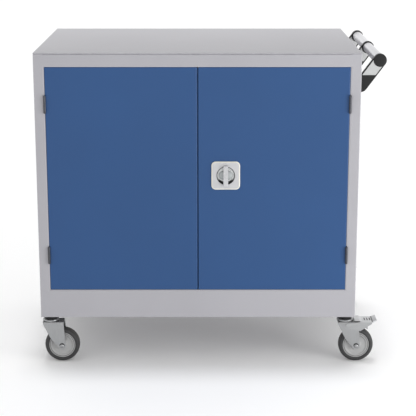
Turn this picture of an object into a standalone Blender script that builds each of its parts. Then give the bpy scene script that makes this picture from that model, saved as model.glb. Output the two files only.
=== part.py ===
"""Mobile cupboard: a folded sheet-steel cabinet on four swivel castors, two of them braked.

It has two flush doors, a rotary lock that drives two locking rods through a rack and pinion, and a
tubular push handle along its right side.

Sizes are in metres. +Z is up, the doors face -Y and the floor is at z = 0. The pieces are drawn in the
cabinet's own frame, whose centre line is x = 0 and whose front face is at y = -BODY_DEPTH / 2. One empty
carries them all and centres the whole footprint on the origin.
"""

import math

import bmesh
import bpy
from mathutils import Vector

# Cabinet body
BODY_WIDTH = 0.900
BODY_DEPTH = 0.600
BODY_HEIGHT = 0.760
CASTOR_HEIGHT = 0.140
SHEET = 0.0012
FOLD_RADIUS = 0.002
FOLD_STEPS = 2
FIT = 0.0003  # gap between pieces that touch
STILE_WIDTH = 0.0285
STILE_DEPTH = 0.050
REAR_RETURN_DEPTH = 0.042
TOP_RAIL_HEIGHT = 0.038
TOP_RAIL_DEPTH = 0.045
PLINTH_HEIGHT = 0.082
TOP_THICKNESS = 0.004
TOP_FOLD_RADIUS = 0.0015
TOP_HEM = 0.014
BASE_SHEET = 0.002
BASE_FLANGE = 0.055
BACK_FLANGE = 0.014

# Shelf, its clips and their slots
SHELF_HEIGHT = 0.025
SHELF_LIP = 0.010
SHELF_INSET = 0.028  # front face of the cabinet to the front of the shelf
SHELF_SIDE_GAP = 0.001
SLOT_COUNT = 7
SLOT_PITCH = 0.060
SHELF_SLOT = 3
SLOT_WIDTH = 0.014
SLOT_HEIGHT = 0.0046
SLOT_INSET_FRONT = 0.036
SLOT_INSET_REAR = 0.026
CLIP_WIDTH = 0.012
CLIP_REACH = 0.014
CLIP_DROP = 0.018
CLIP_THICKNESS = 0.0015
CLIP_NECK = 0.002
CLIP_SLOT_DROP = 0.006  # top of the clip to the middle of its slot

# Doors
DOOR_GAP = 0.0014
CENTRE_GAP = 0.0037
DOOR_DEPTH = 0.022
DOOR_LIP = 0.014
DOOR_SHEET = 0.001

# Hinges
KNUCKLE_RADIUS = 0.0035
KNUCKLE_HALF = 0.025  # height of one hinge half
HINGE_INSET = 0.104  # end of the door opening to the middle of a hinge
HINGE_PIN_RADIUS = 0.0018
HINGE_PIN_CLEARANCE = 0.0002
HINGE_PIN_LENGTH = 0.018  # pin above the lower half
HINGE_PIN_ROOT = 0.006  # pin inside the lower half
LEAF_CLEARANCE = 0.0003  # each face of a leaf to the door or the frame
LEAF_DEPTH = 0.018

# Rotary lock on the right door
LOCK_X = 0.0784
LOCK_DROP = 0.3425  # top of the cabinet to the lock's axis
PLATE_SIZE = 0.080
PLATE_CORNER = 0.012
CORNER_STEPS = 5
PLATE_THICKNESS = 0.004
PLATE_BEVEL = 0.0012
DISH_RADIUS = 0.026
DISH_FLOOR_RADIUS = 0.0245
DISH_DEPTH = 0.0125
DISH_WALL = 0.002
GRIP_WIDTH = 0.0133
GRIP_LENGTH = 0.056
GRIP_RISE = 0.010  # plate to the front of the grip
GRIP_BEVEL = 0.0015
HUB_RADIUS = 0.017
HUB_RISE = 0.001
GRIP_CLEARANCE = 0.0006
KEY_RADIUS = 0.0048
KEY_DEPTH = 0.009
KEYWAY_WIDTH = 0.0012
KEYWAY_LENGTH = 0.0062
KEYWAY_DEPTH = 0.004
SPINDLE_RADIUS = 0.0035
SPINDLE_SOCKET = 0.007
GEAR_MODULE = 0.0015
GEAR_TEETH = 10
GEAR_THICKNESS = 0.006
TOOTH_SHARE = 0.40  # tooth thickness as a share of the pitch
ADDENDUM = 0.0013
DEDENDUM = 0.0017
PRESSURE_ANGLE = math.radians(20)
ROD_WIDTH = 0.008
ROD_THICKNESS = 0.004
ROD_SETBACK = 0.001  # end of a drawn-in rod below the door's edge
ROD_CLEARANCE = 0.0006
KEEPER_CLEARANCE = 0.002
RACK_TEETH = 5
CASE_WIDTH = 0.052
CASE_HEIGHT = 0.056
CASE_SHEET = 0.0012

# Magnet that holds the left door
MAGNET_LENGTH = 0.042
MAGNET_DEPTH = 0.016
MAGNET_HEIGHT = 0.012
MAGNET_BEVEL = 0.001

# Push handle on the right side
TUBE_RADIUS = 0.015
TUBE_WALL = 0.002
HANDLE_REACH = 0.051  # side of the cabinet to the tube's axis
HANDLE_DROP = 0.022  # top of the cabinet to the tube's axis
BRACKET_DROP = 0.092  # top of the cabinet to the foot's centre
BRACKET_RADIUS = 0.018
BRACKET_THICKNESS = 0.012
BRACKET_INSET = 0.012
BRACKET_RIM = 0.0028
INLAY_DROP = 0.063  # top of the cabinet to the lower edge of the inlay
INLAY_RECESS = 0.0008
CAP_THICKNESS = 0.003
CAP_BEVEL = 0.0012
CAP_PLUG = 0.010
BRACKET_STEPS = 9
TUBE_STEPS = 20

# Castors, in the frame of the swivel axis with z = 0 on the floor
CASTOR_INSET_X = 0.0245
CASTOR_INSET_Y = 0.032
TRAIL = 0.032
WHEEL_RADIUS = 0.050
TYRE_THICKNESS = 0.0115
TYRE_WIDTH = 0.030
RIM_WIDTH = 0.026
HUB_WIDTH = 0.035
WHEEL_HUB_RADIUS = 0.012
RIM_DISH = 0.003
RIM_LIP = 0.006
TYRE_SHOULDER = 0.006
TYRE_BEAD = 0.002
WHEEL_STEPS = 20
AXLE_RADIUS = 0.004
AXLE_HEAD_RADIUS = 0.0075
AXLE_HEAD = 0.0045
RUNNING_FIT = 0.0003
FORK_SHEET = 0.003
FORK_INNER_WIDTH = 0.037
FORK_FRONT = 0.022  # swivel axis to the front edge of the crown
FORK_REAR = 0.038
FORK_BOSS_RADIUS = 0.011
FORK_BOSS_ARC = (math.radians(205), math.radians(380))
FORK_FOLD = 0.005
HEAD_HEIGHT = 0.018  # top of the fork's crown to the underside of the cabinet
RACE_RADIUS = 0.0235
RACE_HEIGHT = 0.007
NECK_RADIUS = 0.018
HEAD_FLANGE_RADIUS = 0.0195
HEAD_FLANGE = 0.0035
KINGPIN_RADIUS = 0.006
KINGPIN_FLANGE_RADIUS = 0.010
KINGPIN_FLANGE = 0.003
STUD_RADIUS = 0.006
STUD_END = 0.012  # stud above the base tray's flange
HEAD_STEPS = 12

# Brake levers on the two right castors
LEVER_PIVOT_X = 0.008
LEVER_PIVOT_DROP = 0.0105  # top of the crown to the pivot
LEVER_TRAVEL = math.radians(6)
LEVER_PIN_RADIUS = 0.0025
LEVER_SIDE = 0.002
LEVER_SIDE_GAP = 0.0008
LEVER_PLATE_FRONT = 0.042
LEVER_PLATE_END = 0.078
LEVER_TIP_REACH = 0.012
LEVER_TIP_RISE = 0.005
LEVER_PLATE = 0.0025
LEVER_RISE = 0.002  # top of the crown to the top of the lever
LEVER_EYE_RADIUS = 0.0075
LEVER_EYE_ARC = (math.radians(95), math.radians(265))
LEVER_TOE_DEPTH = 0.007
LEVER_HEEL_X = 0.043
LEVER_HEEL_DROP = 0.026
SHOE_CLEARANCE = 0.0006
SHOE_WIDTH = 0.022
SHOE_ARC = (math.radians(52), math.radians(70))
SHOE_STEPS = 6
EDGE_STEPS = 8  # round ends of the fork and the lever

# Places that follow from the sizes above
BODY_TOP = CASTOR_HEIGHT + BODY_HEIGHT
WALL_TOP = BODY_TOP - TOP_THICKNESS - FIT
FRONT = -BODY_DEPTH / 2
BACK = BODY_DEPTH / 2
SIDE = BODY_WIDTH / 2
JAMB = SIDE - STILE_WIDTH
OPENING_LOW = CASTOR_HEIGHT + PLINTH_HEIGHT
OPENING_HIGH = BODY_TOP - TOP_RAIL_HEIGHT
DOOR_LOW = OPENING_LOW + DOOR_GAP
DOOR_HIGH = OPENING_HIGH - DOOR_GAP
DOOR_EDGE = JAMB - DOOR_GAP
HINGE_X = JAMB - DOOR_GAP / 2
LEAF_THICKNESS = DOOR_GAP - 2 * LEAF_CLEARANCE
HINGE_Y = FRONT - FIT - KNUCKLE_RADIUS
LOCK_Z = BODY_TOP - LOCK_DROP
PLATE_FRONT = FRONT - FIT - PLATE_THICKNESS
DISH_FLOOR = PLATE_FRONT + DISH_DEPTH
CUP_BACK = DISH_FLOOR + DISH_WALL
GRIP_FRONT = PLATE_FRONT - GRIP_RISE
GEAR_FRONT = CUP_BACK + FIT
GEAR_BACK = GEAR_FRONT + GEAR_THICKNESS
GEAR_PITCH = GEAR_MODULE * GEAR_TEETH / 2
ROD_NEAR = GEAR_PITCH + DEDENDUM
ROD_MIDDLE = ROD_NEAR + ROD_WIDTH / 2
ROD_Y = (GEAR_FRONT + GEAR_BACK) / 2
SLOT_LOW = (OPENING_LOW + OPENING_HIGH) / 2 - SLOT_PITCH * (SLOT_COUNT - 1) / 2
CLIP_TOP = SLOT_LOW + SHELF_SLOT * SLOT_PITCH + CLIP_SLOT_DROP
TUBE_X = SIDE + HANDLE_REACH
TUBE_Z = BODY_TOP - HANDLE_DROP
CASTOR_X = SIDE - CASTOR_INSET_X
CASTOR_Y = BODY_DEPTH / 2 - CASTOR_INSET_Y
RIM_RADIUS = WHEEL_RADIUS - TYRE_THICKNESS
TREAD_RADIUS = WHEEL_RADIUS / math.cos(math.pi / WHEEL_STEPS)  # corners between the tread's flats
FORK_TOP = CASTOR_HEIGHT - HEAD_HEIGHT
RACE_TOP = FORK_TOP + RACE_HEIGHT
LEVER_TOP = FORK_TOP + LEVER_RISE
LEVER_PIVOT = (LEVER_PIVOT_X, FORK_TOP - LEVER_PIVOT_DROP)
LEVER_HEEL = (LEVER_HEEL_X, FORK_TOP - LEVER_HEEL_DROP)
FORK_HALF = FORK_INNER_WIDTH / 2 + FORK_SHEET
LEVER_HALF = FORK_HALF + LEVER_SIDE_GAP + LEVER_SIDE
FOOTPRINT_X = (SIDE - TUBE_X - BRACKET_RADIUS) / 2
FOOTPRINT_Y = -(GRIP_FRONT + BACK) / 2

DRAWN_UP = 1000.0
AXES = {"X": (1, 2, 0), "Y": (2, 0, 1), "Z": (0, 1, 2)}
FINISHES = {
    "grey_coat": ((0.55, 0.55, 0.57), 0.45, 0.0),
    "blue_coat": ((0.045, 0.105, 0.25), 0.45, 0.0),
    "zinc": ((0.60, 0.61, 0.62), 0.35, 1.0),
    "rim_plastic": ((0.42, 0.43, 0.44), 0.50, 0.0),
    "tyre_rubber": ((0.055, 0.055, 0.060), 0.80, 0.0),
    "black_plastic": ((0.030, 0.030, 0.032), 0.45, 0.0),
    "aluminium": ((0.72, 0.72, 0.73), 0.30, 1.0),
    "lock_plastic": ((0.60, 0.60, 0.60), 0.40, 0.0),
}


def clear_scene():
    """Empties the scene and makes the collections of the parts and of the tools that shape them."""
    for obj in list(bpy.data.objects):
        bpy.data.objects.remove(obj, do_unlink=True)
    for name in ("mobile_cupboard", "tools"):
        collection = bpy.data.collections.new(name)
        bpy.context.scene.collection.children.link(collection)


def finish_material(name):
    """The Principled material of one finish, made at its first use."""
    found = bpy.data.materials.get(name)
    if found:
        return found
    colour, roughness, metallic = FINISHES[name]
    material = bpy.data.materials.new(name)
    material.use_nodes = True
    shader = material.node_tree.nodes["Principled BSDF"]
    shader.inputs["Base Color"].default_value = (*colour, 1.0)
    shader.inputs["Roughness"].default_value = roughness
    shader.inputs["Metallic"].default_value = metallic
    return material


def pivot(name, place, parent=None):
    """An empty on a joint's axis, at a place in its parent's frame."""
    obj = bpy.data.objects.new(name, None)
    bpy.data.collections["mobile_cupboard"].objects.link(obj)
    obj.location = place
    obj.parent = parent
    return obj


def draft(name, mesh):
    """A new object at the origin with that mesh."""
    obj = bpy.data.objects.new(name, mesh)
    bpy.data.collections["mobile_cupboard"].objects.link(obj)
    return obj


def mount(obj, finish, parent, drawn_at=(0.0, 0.0, 0.0)):
    """Gives obj its finish and parent. drawn_at is the parent's place in the frame that obj was drawn in."""
    obj.data.materials.clear()
    obj.data.materials.append(finish_material(finish))
    obj.parent = parent
    obj.location = -Vector(drawn_at)
    return obj


def settled(obj):
    """The mesh of obj with its modifiers applied, for pieces that repeat. obj and its tools are removed."""
    graph = bpy.context.evaluated_depsgraph_get()
    mesh = bpy.data.meshes.new_from_object(obj.evaluated_get(graph))
    mesh.name = obj.name
    for used in [*obj.children, obj]:
        bpy.data.objects.remove(used, do_unlink=True)
    return mesh


def combine(target, tool, operation):
    """Adds a Boolean with a tool that stays with the target and isn't rendered."""
    tool.parent = target
    tool.hide_render = True
    tool.display_type = "WIRE"
    bpy.data.collections["mobile_cupboard"].objects.unlink(tool)
    bpy.data.collections["tools"].objects.link(tool)
    modifier = target.modifiers.new(tool.name, "BOOLEAN")
    modifier.operation = operation
    modifier.solver = "EXACT"
    modifier.object = tool
    return target


def bevel(obj, width, segments=2, angle=math.radians(40)):
    """Rounds the edges of obj that are sharper than angle."""
    modifier = obj.modifiers.new("edge_radius", "BEVEL")
    modifier.width = width
    modifier.segments = segments
    modifier.limit_method = "ANGLE"
    modifier.angle_limit = angle
    return obj


def solidify(obj, sheet):
    """Thickens an open surface behind its face."""
    modifier = obj.modifiers.new("sheet", "SOLIDIFY")
    modifier.thickness = sheet
    modifier.offset = -1.0
    modifier.use_even_offset = True
    return obj


def mesh_of(bm, name):
    """Turns a bmesh into a mesh."""
    mesh = bpy.data.meshes.new(name)
    bm.to_mesh(mesh)
    bm.free()
    return mesh


def box(name, low, high):
    """A block between two corners."""
    bm = bmesh.new()
    bmesh.ops.create_cube(bm, size=1.0)
    low = Vector(low)
    high = Vector(high)
    bmesh.ops.scale(bm, vec=high - low, verts=bm.verts)
    bmesh.ops.translate(bm, vec=(low + high) / 2, verts=bm.verts)
    return draft(name, mesh_of(bm, name))


def arc(centre, radius, start, end, steps):
    """Points on a circle from one angle to another."""
    turns = [start + (end - start) * i / steps for i in range(steps + 1)]
    return [(centre[0] + radius * math.cos(t), centre[1] + radius * math.sin(t)) for t in turns]


def circle(centre, radius, steps):
    """Points all round a circle."""
    return arc(centre, radius, 0.0, 2 * math.pi, steps)[:-1]


def rounded(points, radius, steps=FOLD_STEPS):
    """The open path through points, each inner corner turned into an arc."""
    path = [Vector(points[0])]
    for before, corner, after in zip(points, points[1:], points[2:]):
        corner = Vector(corner)
        arrive = (Vector(before) - corner).normalized()
        leave = (Vector(after) - corner).normalized()
        half = arrive.angle(leave) / 2
        centre = corner + (arrive + leave).normalized() * (radius / math.sin(half))
        first = corner + arrive * (radius / math.tan(half)) - centre
        last = corner + leave * (radius / math.tan(half)) - centre
        start = math.atan2(first.y, first.x)
        sweep = (math.atan2(last.y, last.x) - start + math.pi) % (2 * math.pi) - math.pi
        path.extend(arc(centre, radius, start, start + sweep, steps))
    path.append(Vector(points[-1]))
    return path


def mirrored(points):
    """A path in the XY plane on the other side of the cabinet, run the other way."""
    return [(-x, y) for x, y in reversed(points)]


def bent_sheet(name, path, stations, axis, sheet):
    """A grid bent along path, a line in the plane across axis, and carried along axis through the stations.

    Seen against the axis, the path is the outer face and the sheet lies on its left.
    """
    u, v, w = AXES[axis]
    columns = len(path) - 1
    rows = len(stations) - 1
    bm = bmesh.new()
    bmesh.ops.create_grid(bm, x_segments=columns, y_segments=rows, size=0.5)
    for vert in bm.verts:
        column = round((vert.co.x + 0.5) * columns)
        row = round((vert.co.y + 0.5) * rows)
        spot = Vector((0.0, 0.0, 0.0))
        spot[u], spot[v] = path[column]
        spot[w] = stations[row]
        vert.co = spot
    return solidify(draft(name, mesh_of(bm, name)), sheet)


def tray(name, low, high, open_side, lip):
    """A box between two corners, open along open_side, where its edge is turned in by lip."""
    bm = bmesh.new()
    low = Vector(low)
    high = Vector(high)
    bmesh.ops.create_cube(bm, size=1.0)
    bmesh.ops.scale(bm, vec=high - low, verts=bm.verts)
    bm.normal_update()
    away = [face for face in bm.faces if face.normal.dot(Vector(open_side)) > 0.5]
    rim = list(away[0].edges)
    bmesh.ops.delete(bm, geom=away, context="FACES_ONLY")
    if lip:
        grown = bmesh.ops.extrude_edge_only(bm, edges=rim)["geom"]
        corners = [part for part in grown if isinstance(part, bmesh.types.BMVert)]
        size = high - low
        shrink = [1.0 if open_side[i] else 1.0 - 2 * lip / size[i] for i in range(3)]
        bmesh.ops.scale(bm, vec=shrink, verts=corners)
        bmesh.ops.recalc_face_normals(bm, faces=bm.faces)
        bm.normal_update()
        closed = max(bm.faces, key=lambda face: -face.normal.dot(Vector(open_side)) * face.calc_area())
        if closed.calc_center_median().dot(Vector(open_side)) > 0:
            bmesh.ops.reverse_faces(bm, faces=bm.faces)
    bmesh.ops.translate(bm, vec=(low + high) / 2, verts=bm.verts)
    return draft(name, mesh_of(bm, name))


def filled(name, loops):
    """The flat mesh inside an outline with holes, from a filled 2D curve.

    The curve is drawn DRAWN_UP times as large, because Blender fills small outlines badly.
    """
    curve = bpy.data.curves.new(name, "CURVE")
    curve.dimensions = "2D"
    curve.fill_mode = "BOTH"
    for loop in loops:
        spline = curve.splines.new("POLY")
        spline.points.add(len(loop) - 1)
        for point, spot in zip(spline.points, loop):
            point.co = (DRAWN_UP * spot[0], DRAWN_UP * spot[1], 0.0, 1.0)
        spline.use_cyclic_u = True
    return settled(draft(name + "_outline", curve))


def slab(name, loops, low, high, axis):
    """A flat outline with holes, given thickness from low to high along Z or Y.

    An outline that stands across Y is drawn in X and Z, one across Z in X and Y.
    """
    bm = bmesh.new()
    if len(loops) == 1:
        bm.faces.new([bm.verts.new((spot[0], spot[1], 0.0)) for spot in loops[0]])
    else:
        bm.from_mesh(filled(name, loops))
        bmesh.ops.scale(bm, vec=[1 / DRAWN_UP] * 3, verts=bm.verts)
        bmesh.ops.remove_doubles(bm, verts=bm.verts, dist=1e-6)
    flat = bm.faces[:] + bm.edges[:] + bm.verts[:]
    grown = bmesh.ops.extrude_face_region(bm, geom=flat, use_keep_orig=True)
    moved =[part for part in grown["geom"] if isinstance(part, bmesh.types.BMVert)]
    bmesh.ops.translate(bm, vec=(0.0, 0.0, high - low), verts=moved)
    for vert in bm.verts:
        x, y, z = vert.co
        vert.co = (x, z + low, y) if axis == "Y" else (x, y, z + low)
    bmesh.ops.recalc_face_normals(bm, faces=bm.faces)
    if bm.calc_volume(signed=True) < 0:
        bmesh.ops.reverse_faces(bm, faces=bm.faces)
    return draft(name, mesh_of(bm, name))


def turned(name, profile, steps, closed=False):
    """A profile of radius and height turned about Z. A closed profile makes a ring."""
    bm = bmesh.new()
    verts = [bm.verts.new((r, 0.0, h)) for r, h in profile]
    for pair in zip(verts, verts[1:] + verts[:1] if closed else verts[1:]):
        bm.edges.new(pair)
    obj = draft(name, mesh_of(bm, name))
    screw = obj.modifiers.new("turn", "SCREW")
    screw.axis = "Z"
    screw.angle = 2 * math.pi
    screw.steps = steps
    screw.render_steps = steps
    screw.use_merge_vertices = True
    screw.merge_threshold = 1e-6
    return obj


def lathe(name, profile, steps, centre=(0.0, 0.0, 0.0), closed=False, phase=0.0):
    """A piece turned about a line along Y through centre. Heights run along +Y."""
    obj = draft(name, settled(turned(name + "_profile", profile, steps, closed)))
    for vert in obj.data.vertices:
        x, y, z = vert.co
        turn = math.atan2(y, x) + phase
        reach = math.hypot(x, y)
        vert.co = Vector((reach * math.cos(turn), z, -reach * math.sin(turn))) + Vector(centre)
    return obj


def pin(name, centre, radius, low, high, steps=HEAD_STEPS):
    """A round bar along Y."""
    return lathe(name, [(0.0, high), (radius, high), (radius, low), (0.0, low)], steps, centre)


def build_carcass(root):
    """The folded panels of the cabinet."""
    wall = [
        (-JAMB, BACK - REAR_RETURN_DEPTH),
        (-JAMB, BACK),
        (-SIDE, BACK),
        (-SIDE, FRONT),
        (-JAMB, FRONT),
        (-JAMB, FRONT + STILE_DEPTH),
    ]
    path = rounded(wall, FOLD_RADIUS)
    for name, outline in (("side_left", path), ("side_right", mirrored(path))):
        side = bent_sheet(name, outline, (CASTOR_HEIGHT, OPENING_LOW + FIT, WALL_TOP), "Z", SHEET)
        trim_returns(side)
        for row, y in (("front", FRONT + SLOT_INSET_FRONT), ("rear", BACK - SLOT_INSET_REAR)):
            combine(side, slot_row(f"{name}_slots_{row}", y, outline is path), "DIFFERENCE")
        mount(side, "grey_coat", root)

    half = JAMB - FIT
    rail_path = [
        (FRONT + TOP_RAIL_DEPTH, WALL_TOP),
        (FRONT, WALL_TOP),
        (FRONT, OPENING_HIGH),
        (FRONT + TOP_RAIL_DEPTH, OPENING_HIGH),
    ]
    rail = bent_sheet("top_rail", rounded(rail_path, FOLD_RADIUS), (-half, half), "X", SHEET)
    combine(rail, keeper("keeper_top", LOCK_X + ROD_MIDDLE, OPENING_HIGH), "DIFFERENCE")
    mount(rail, "grey_coat", root)

    base_path = [
        (BACK - BASE_FLANGE, CASTOR_HEIGHT),
        (BACK, CASTOR_HEIGHT),
        (BACK, OPENING_LOW),
        (FRONT, OPENING_LOW),
        (FRONT, CASTOR_HEIGHT),
        (FRONT + BASE_FLANGE, CASTOR_HEIGHT),
    ]
    reach = SIDE - FOLD_RADIUS - SHEET / 2 - FIT
    base = bent_sheet("base_tray", rounded(base_path, BASE_SHEET + SHEET), (-reach, reach), "X", BASE_SHEET)
    combine(base, keeper("keeper_base", LOCK_X - ROD_MIDDLE, OPENING_LOW), "DIFFERENCE")
    for place, x, y in castor_places():
        hole = slab(
            f"stud_hole_{place}",
            [circle((x, y), STUD_RADIUS + RUNNING_FIT, HEAD_STEPS)],
            CASTOR_HEIGHT - BASE_SHEET,
            CASTOR_HEIGHT + 2 * BASE_SHEET,
            "Z",
        )
        combine(base, hole, "DIFFERENCE")
    mount(base, "grey_coat", root)

    back_path = [
        (half, BACK - BACK_FLANGE),
        (half, BACK),
        (-half, BACK),
        (-half, BACK - BACK_FLANGE),
    ]
    stations = (OPENING_LOW + FIT, WALL_TOP)
    back = bent_sheet("back_panel", rounded(back_path, FOLD_RADIUS), stations, "Z", SHEET)
    mount(back, "grey_coat", root)

    corners = (-SIDE, FRONT, BODY_TOP - TOP_THICKNESS), (SIDE, BACK, BODY_TOP)
    top = tray("top_panel", *corners, (0, 0, -1), TOP_HEM)
    bevel(top, TOP_FOLD_RADIUS)
    mount(solidify(top, SHEET), "grey_coat", root)


def trim_returns(side):
    """Ends the stile and the rear return of a side panel above the base tray, which fills the width."""
    bm = bmesh.new()
    bm.from_mesh(side.data)
    inner = SIDE - FOLD_RADIUS
    low = [
        face
        for face in bm.faces
        if face.calc_center_median().z < OPENING_LOW and abs(face.calc_center_median().x) < inner
    ]
    bmesh.ops.delete(bm, geom=low, context="FACES")
    bm.to_mesh(side.data)
    bm.free()


def slot_row(name, y, left):
    """Cutter for one upright row of shelf slots in a jamb or rear return."""
    outer = JAMB + 2 * SHEET
    inner = JAMB - SHEET
    xs = (-outer, -inner) if left else (inner, outer)
    low = SLOT_LOW - SLOT_HEIGHT / 2
    row = box(name, (xs[0], y - SLOT_WIDTH / 2, low), (xs[1], y + SLOT_WIDTH / 2, low + SLOT_HEIGHT))
    array = row.modifiers.new("row", "ARRAY")
    array.count = SLOT_COUNT
    array.use_relative_offset = False
    array.use_constant_offset = True
    array.constant_offset_displace = (0.0, 0.0, SLOT_PITCH)
    return row


def keeper(name, x, z):
    """Cutter for the hole that a locking rod enters in the frame."""
    half_x = ROD_WIDTH / 2 + KEEPER_CLEARANCE
    half_y = ROD_THICKNESS / 2 + KEEPER_CLEARANCE
    depth = 2 * BASE_SHEET
    return box(name, (x - half_x, ROD_Y - half_y, z - depth), (x + half_x, ROD_Y + half_y, z + depth))


def build_shelf(root):
    """The loose shelf and the four clips that carry it."""
    front = FRONT + SHELF_INSET
    rear = BACK - BACK_FLANGE - 2 * FIT
    seat = CLIP_TOP + FIT
    top = seat + SHEET
    half = JAMB - SHELF_SIDE_GAP
    path = [
        (rear - SHELF_LIP, top - SHELF_HEIGHT),
        (rear, top - SHELF_HEIGHT),
        (rear, top),
        (front, top),
        (front, top - SHELF_HEIGHT),
        (front + SHELF_LIP, top - SHELF_HEIGHT),
    ]
    shelf = bent_sheet("shelf", rounded(path, FOLD_RADIUS), (-half, half), "X", SHEET)
    mount(shelf, "grey_coat", root)

    face = FIT
    plate = face + CLIP_THICKNESS
    behind = -SHEET - FIT
    neck_low = -CLIP_SLOT_DROP - CLIP_NECK / 2
    neck_high = -CLIP_SLOT_DROP + CLIP_NECK / 2
    hook = [
        (face, 0.0),
        (face, neck_high),
        (behind - CLIP_THICKNESS, neck_high),
        (behind - CLIP_THICKNESS, neck_low - SLOT_HEIGHT),
        (behind, neck_low - SLOT_HEIGHT),
        (behind, neck_low),
        (face, neck_low),
        (face, -CLIP_DROP),
        (plate, -CLIP_DROP),
        (plate, -CLIP_THICKNESS),
        (CLIP_REACH, -CLIP_THICKNESS),
        (CLIP_REACH, 0.0),
    ]
    for hand, sign in (("left", 1.0), ("right", -1.0)):
        outline = [(sign * (x - JAMB), CLIP_TOP + z) for x, z in hook]
        for row, y in (("front", FRONT + SLOT_INSET_FRONT), ("rear", BACK - SLOT_INSET_REAR)):
            clip = slab(f"shelf_clip_{row}_{hand}", [outline], y - CLIP_WIDTH / 2, y + CLIP_WIDTH / 2, "Y")
            mount(clip, "zinc", root)


def door_pan(name, low_x, high_x):
    """A door folded back on all four edges, its returns turned in behind."""
    pan = tray(
        name,
        (low_x, FRONT, DOOR_LOW),
        (high_x, FRONT + DOOR_DEPTH, DOOR_HIGH),
        (0, 1, 0),
        DOOR_LIP,
    )
    bevel(pan, FOLD_RADIUS)
    return solidify(pan, DOOR_SHEET)


def build_doors(root):
    """Both doors on empties at their hinge axes, which are returned with their places."""
    hung = {}
    for hand, sign in (("left", -1.0), ("right", 1.0)):
        place = (sign * HINGE_X, HINGE_Y, 0.0)
        axis = pivot(f"hinge_axis_{hand}", place, root)
        edges = sorted((sign * DOOR_EDGE, sign * CENTRE_GAP / 2))
        door = door_pan(f"door_{hand}", *edges)
        if hand == "right":
            cut_for_lock(door)
        mount(door, "blue_coat", axis, place)
        hung[hand] = (axis, place)
    return hung


def cut_for_lock(door):
    """The lock's round hole in the door's face and the rods' holes in its upper and lower edges."""
    radius = DISH_RADIUS + DISH_WALL + FIT
    face_hole = lathe(
        "lock_hole",
        [
            (0.0, FRONT + 3 * DOOR_SHEET),
            (radius, FRONT + 3 * DOOR_SHEET),
            (radius, FRONT - DOOR_SHEET),
            (0.0, FRONT - DOOR_SHEET),
        ],
        TUBE_STEPS,
        (LOCK_X, 0.0, LOCK_Z),
    )
    combine(door, face_hole, "DIFFERENCE")
    half_x = ROD_WIDTH / 2 + ROD_CLEARANCE
    half_y = ROD_THICKNESS / 2 + ROD_CLEARANCE
    for name, x, z in (
        ("rod_hole_top", LOCK_X + ROD_MIDDLE, DOOR_HIGH),
        ("rod_hole_bottom", LOCK_X - ROD_MIDDLE, DOOR_LOW),
    ):
        depth = 2 * DOOR_SHEET
        hole = box(name, (x - half_x, ROD_Y - half_y, z - depth), (x + half_x, ROD_Y + half_y, z + depth))
        combine(door, hole, "DIFFERENCE")


def hinge_outline():
    """Plan of a hinge half about its axis: the knuckle and the leaf that stands in the door's gap."""
    half = LEAF_THICKNESS / 2
    start = math.pi / 2 + math.asin(half / KNUCKLE_RADIUS)
    end = math.pi / 2 - math.asin(half / KNUCKLE_RADIUS) + 2 * math.pi
    leaf_end = KNUCKLE_RADIUS + FIT + LEAF_DEPTH
    return arc((0.0, 0.0), KNUCKLE_RADIUS, start, end, HEAD_STEPS) + [(half, leaf_end), (-half, leaf_end)]


def build_hinges(root, hung):
    """Two lift-off hinges a door: the lower half with its pin on the frame, the upper half on the door."""
    lower = slab("hinge_lower", [hinge_outline()], -KNUCKLE_HALF, -FIT / 2, "Z")
    stem = slab(
        "hinge_stem",
        [circle((0.0, 0.0), HINGE_PIN_RADIUS, HEAD_STEPS)],
        -HINGE_PIN_ROOT,
        HINGE_PIN_LENGTH,
        "Z",
    )
    frame_half = settled(combine(lower, stem, "UNION"))
    bore = circle((0.0, 0.0), HINGE_PIN_RADIUS + HINGE_PIN_CLEARANCE, HEAD_STEPS)
    door_half = settled(slab("hinge_upper", [hinge_outline(), bore], FIT / 2, KNUCKLE_HALF, "Z"))
    for hand, (axis, place) in hung.items():
        for row, z in (("top", OPENING_HIGH - HINGE_INSET), ("bottom", OPENING_LOW + HINGE_INSET)):
            fixed = mount(draft(f"hinge_frame_{row}_{hand}", frame_half), "zinc", root)
            fixed.location = (place[0], place[1], z)
            moving = mount(draft(f"hinge_door_{row}_{hand}", door_half), "zinc", axis)
            moving.location = (0.0, 0.0, z)


def build_lock(hung):
    """The rotary lock on the right door: plate, grip, key cylinder, spindle, case and both rods."""
    door_axis, door_place = hung["right"]
    centre = (LOCK_X, 0.0, LOCK_Z)
    grip_place = (LOCK_X, PLATE_FRONT, LOCK_Z)
    grip_axis = pivot("lock_axis", Vector(grip_place) - Vector(door_place), door_axis)

    mount(lock_plate(centre), "lock_plastic", door_axis, door_place)
    mount(lock_case(centre), "zinc", door_axis, door_place)
    mount(lock_grip(centre), "lock_plastic", grip_axis, grip_place)
    mount(key_cylinder(centre), "zinc", grip_axis, grip_place)
    mount(lock_spindle(centre), "zinc", grip_axis, grip_place)
    for name, sign, end in (
        ("lock_rod_top", 1.0, DOOR_HIGH - ROD_SETBACK),
        ("lock_rod_bottom", -1.0, DOOR_LOW + ROD_SETBACK),
    ):
        rod = slab(name, [rod_outline(sign, end)], ROD_Y - ROD_THICKNESS / 2, ROD_Y + ROD_THICKNESS / 2, "Y")
        mount(rod, "zinc", door_axis, door_place)


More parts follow.
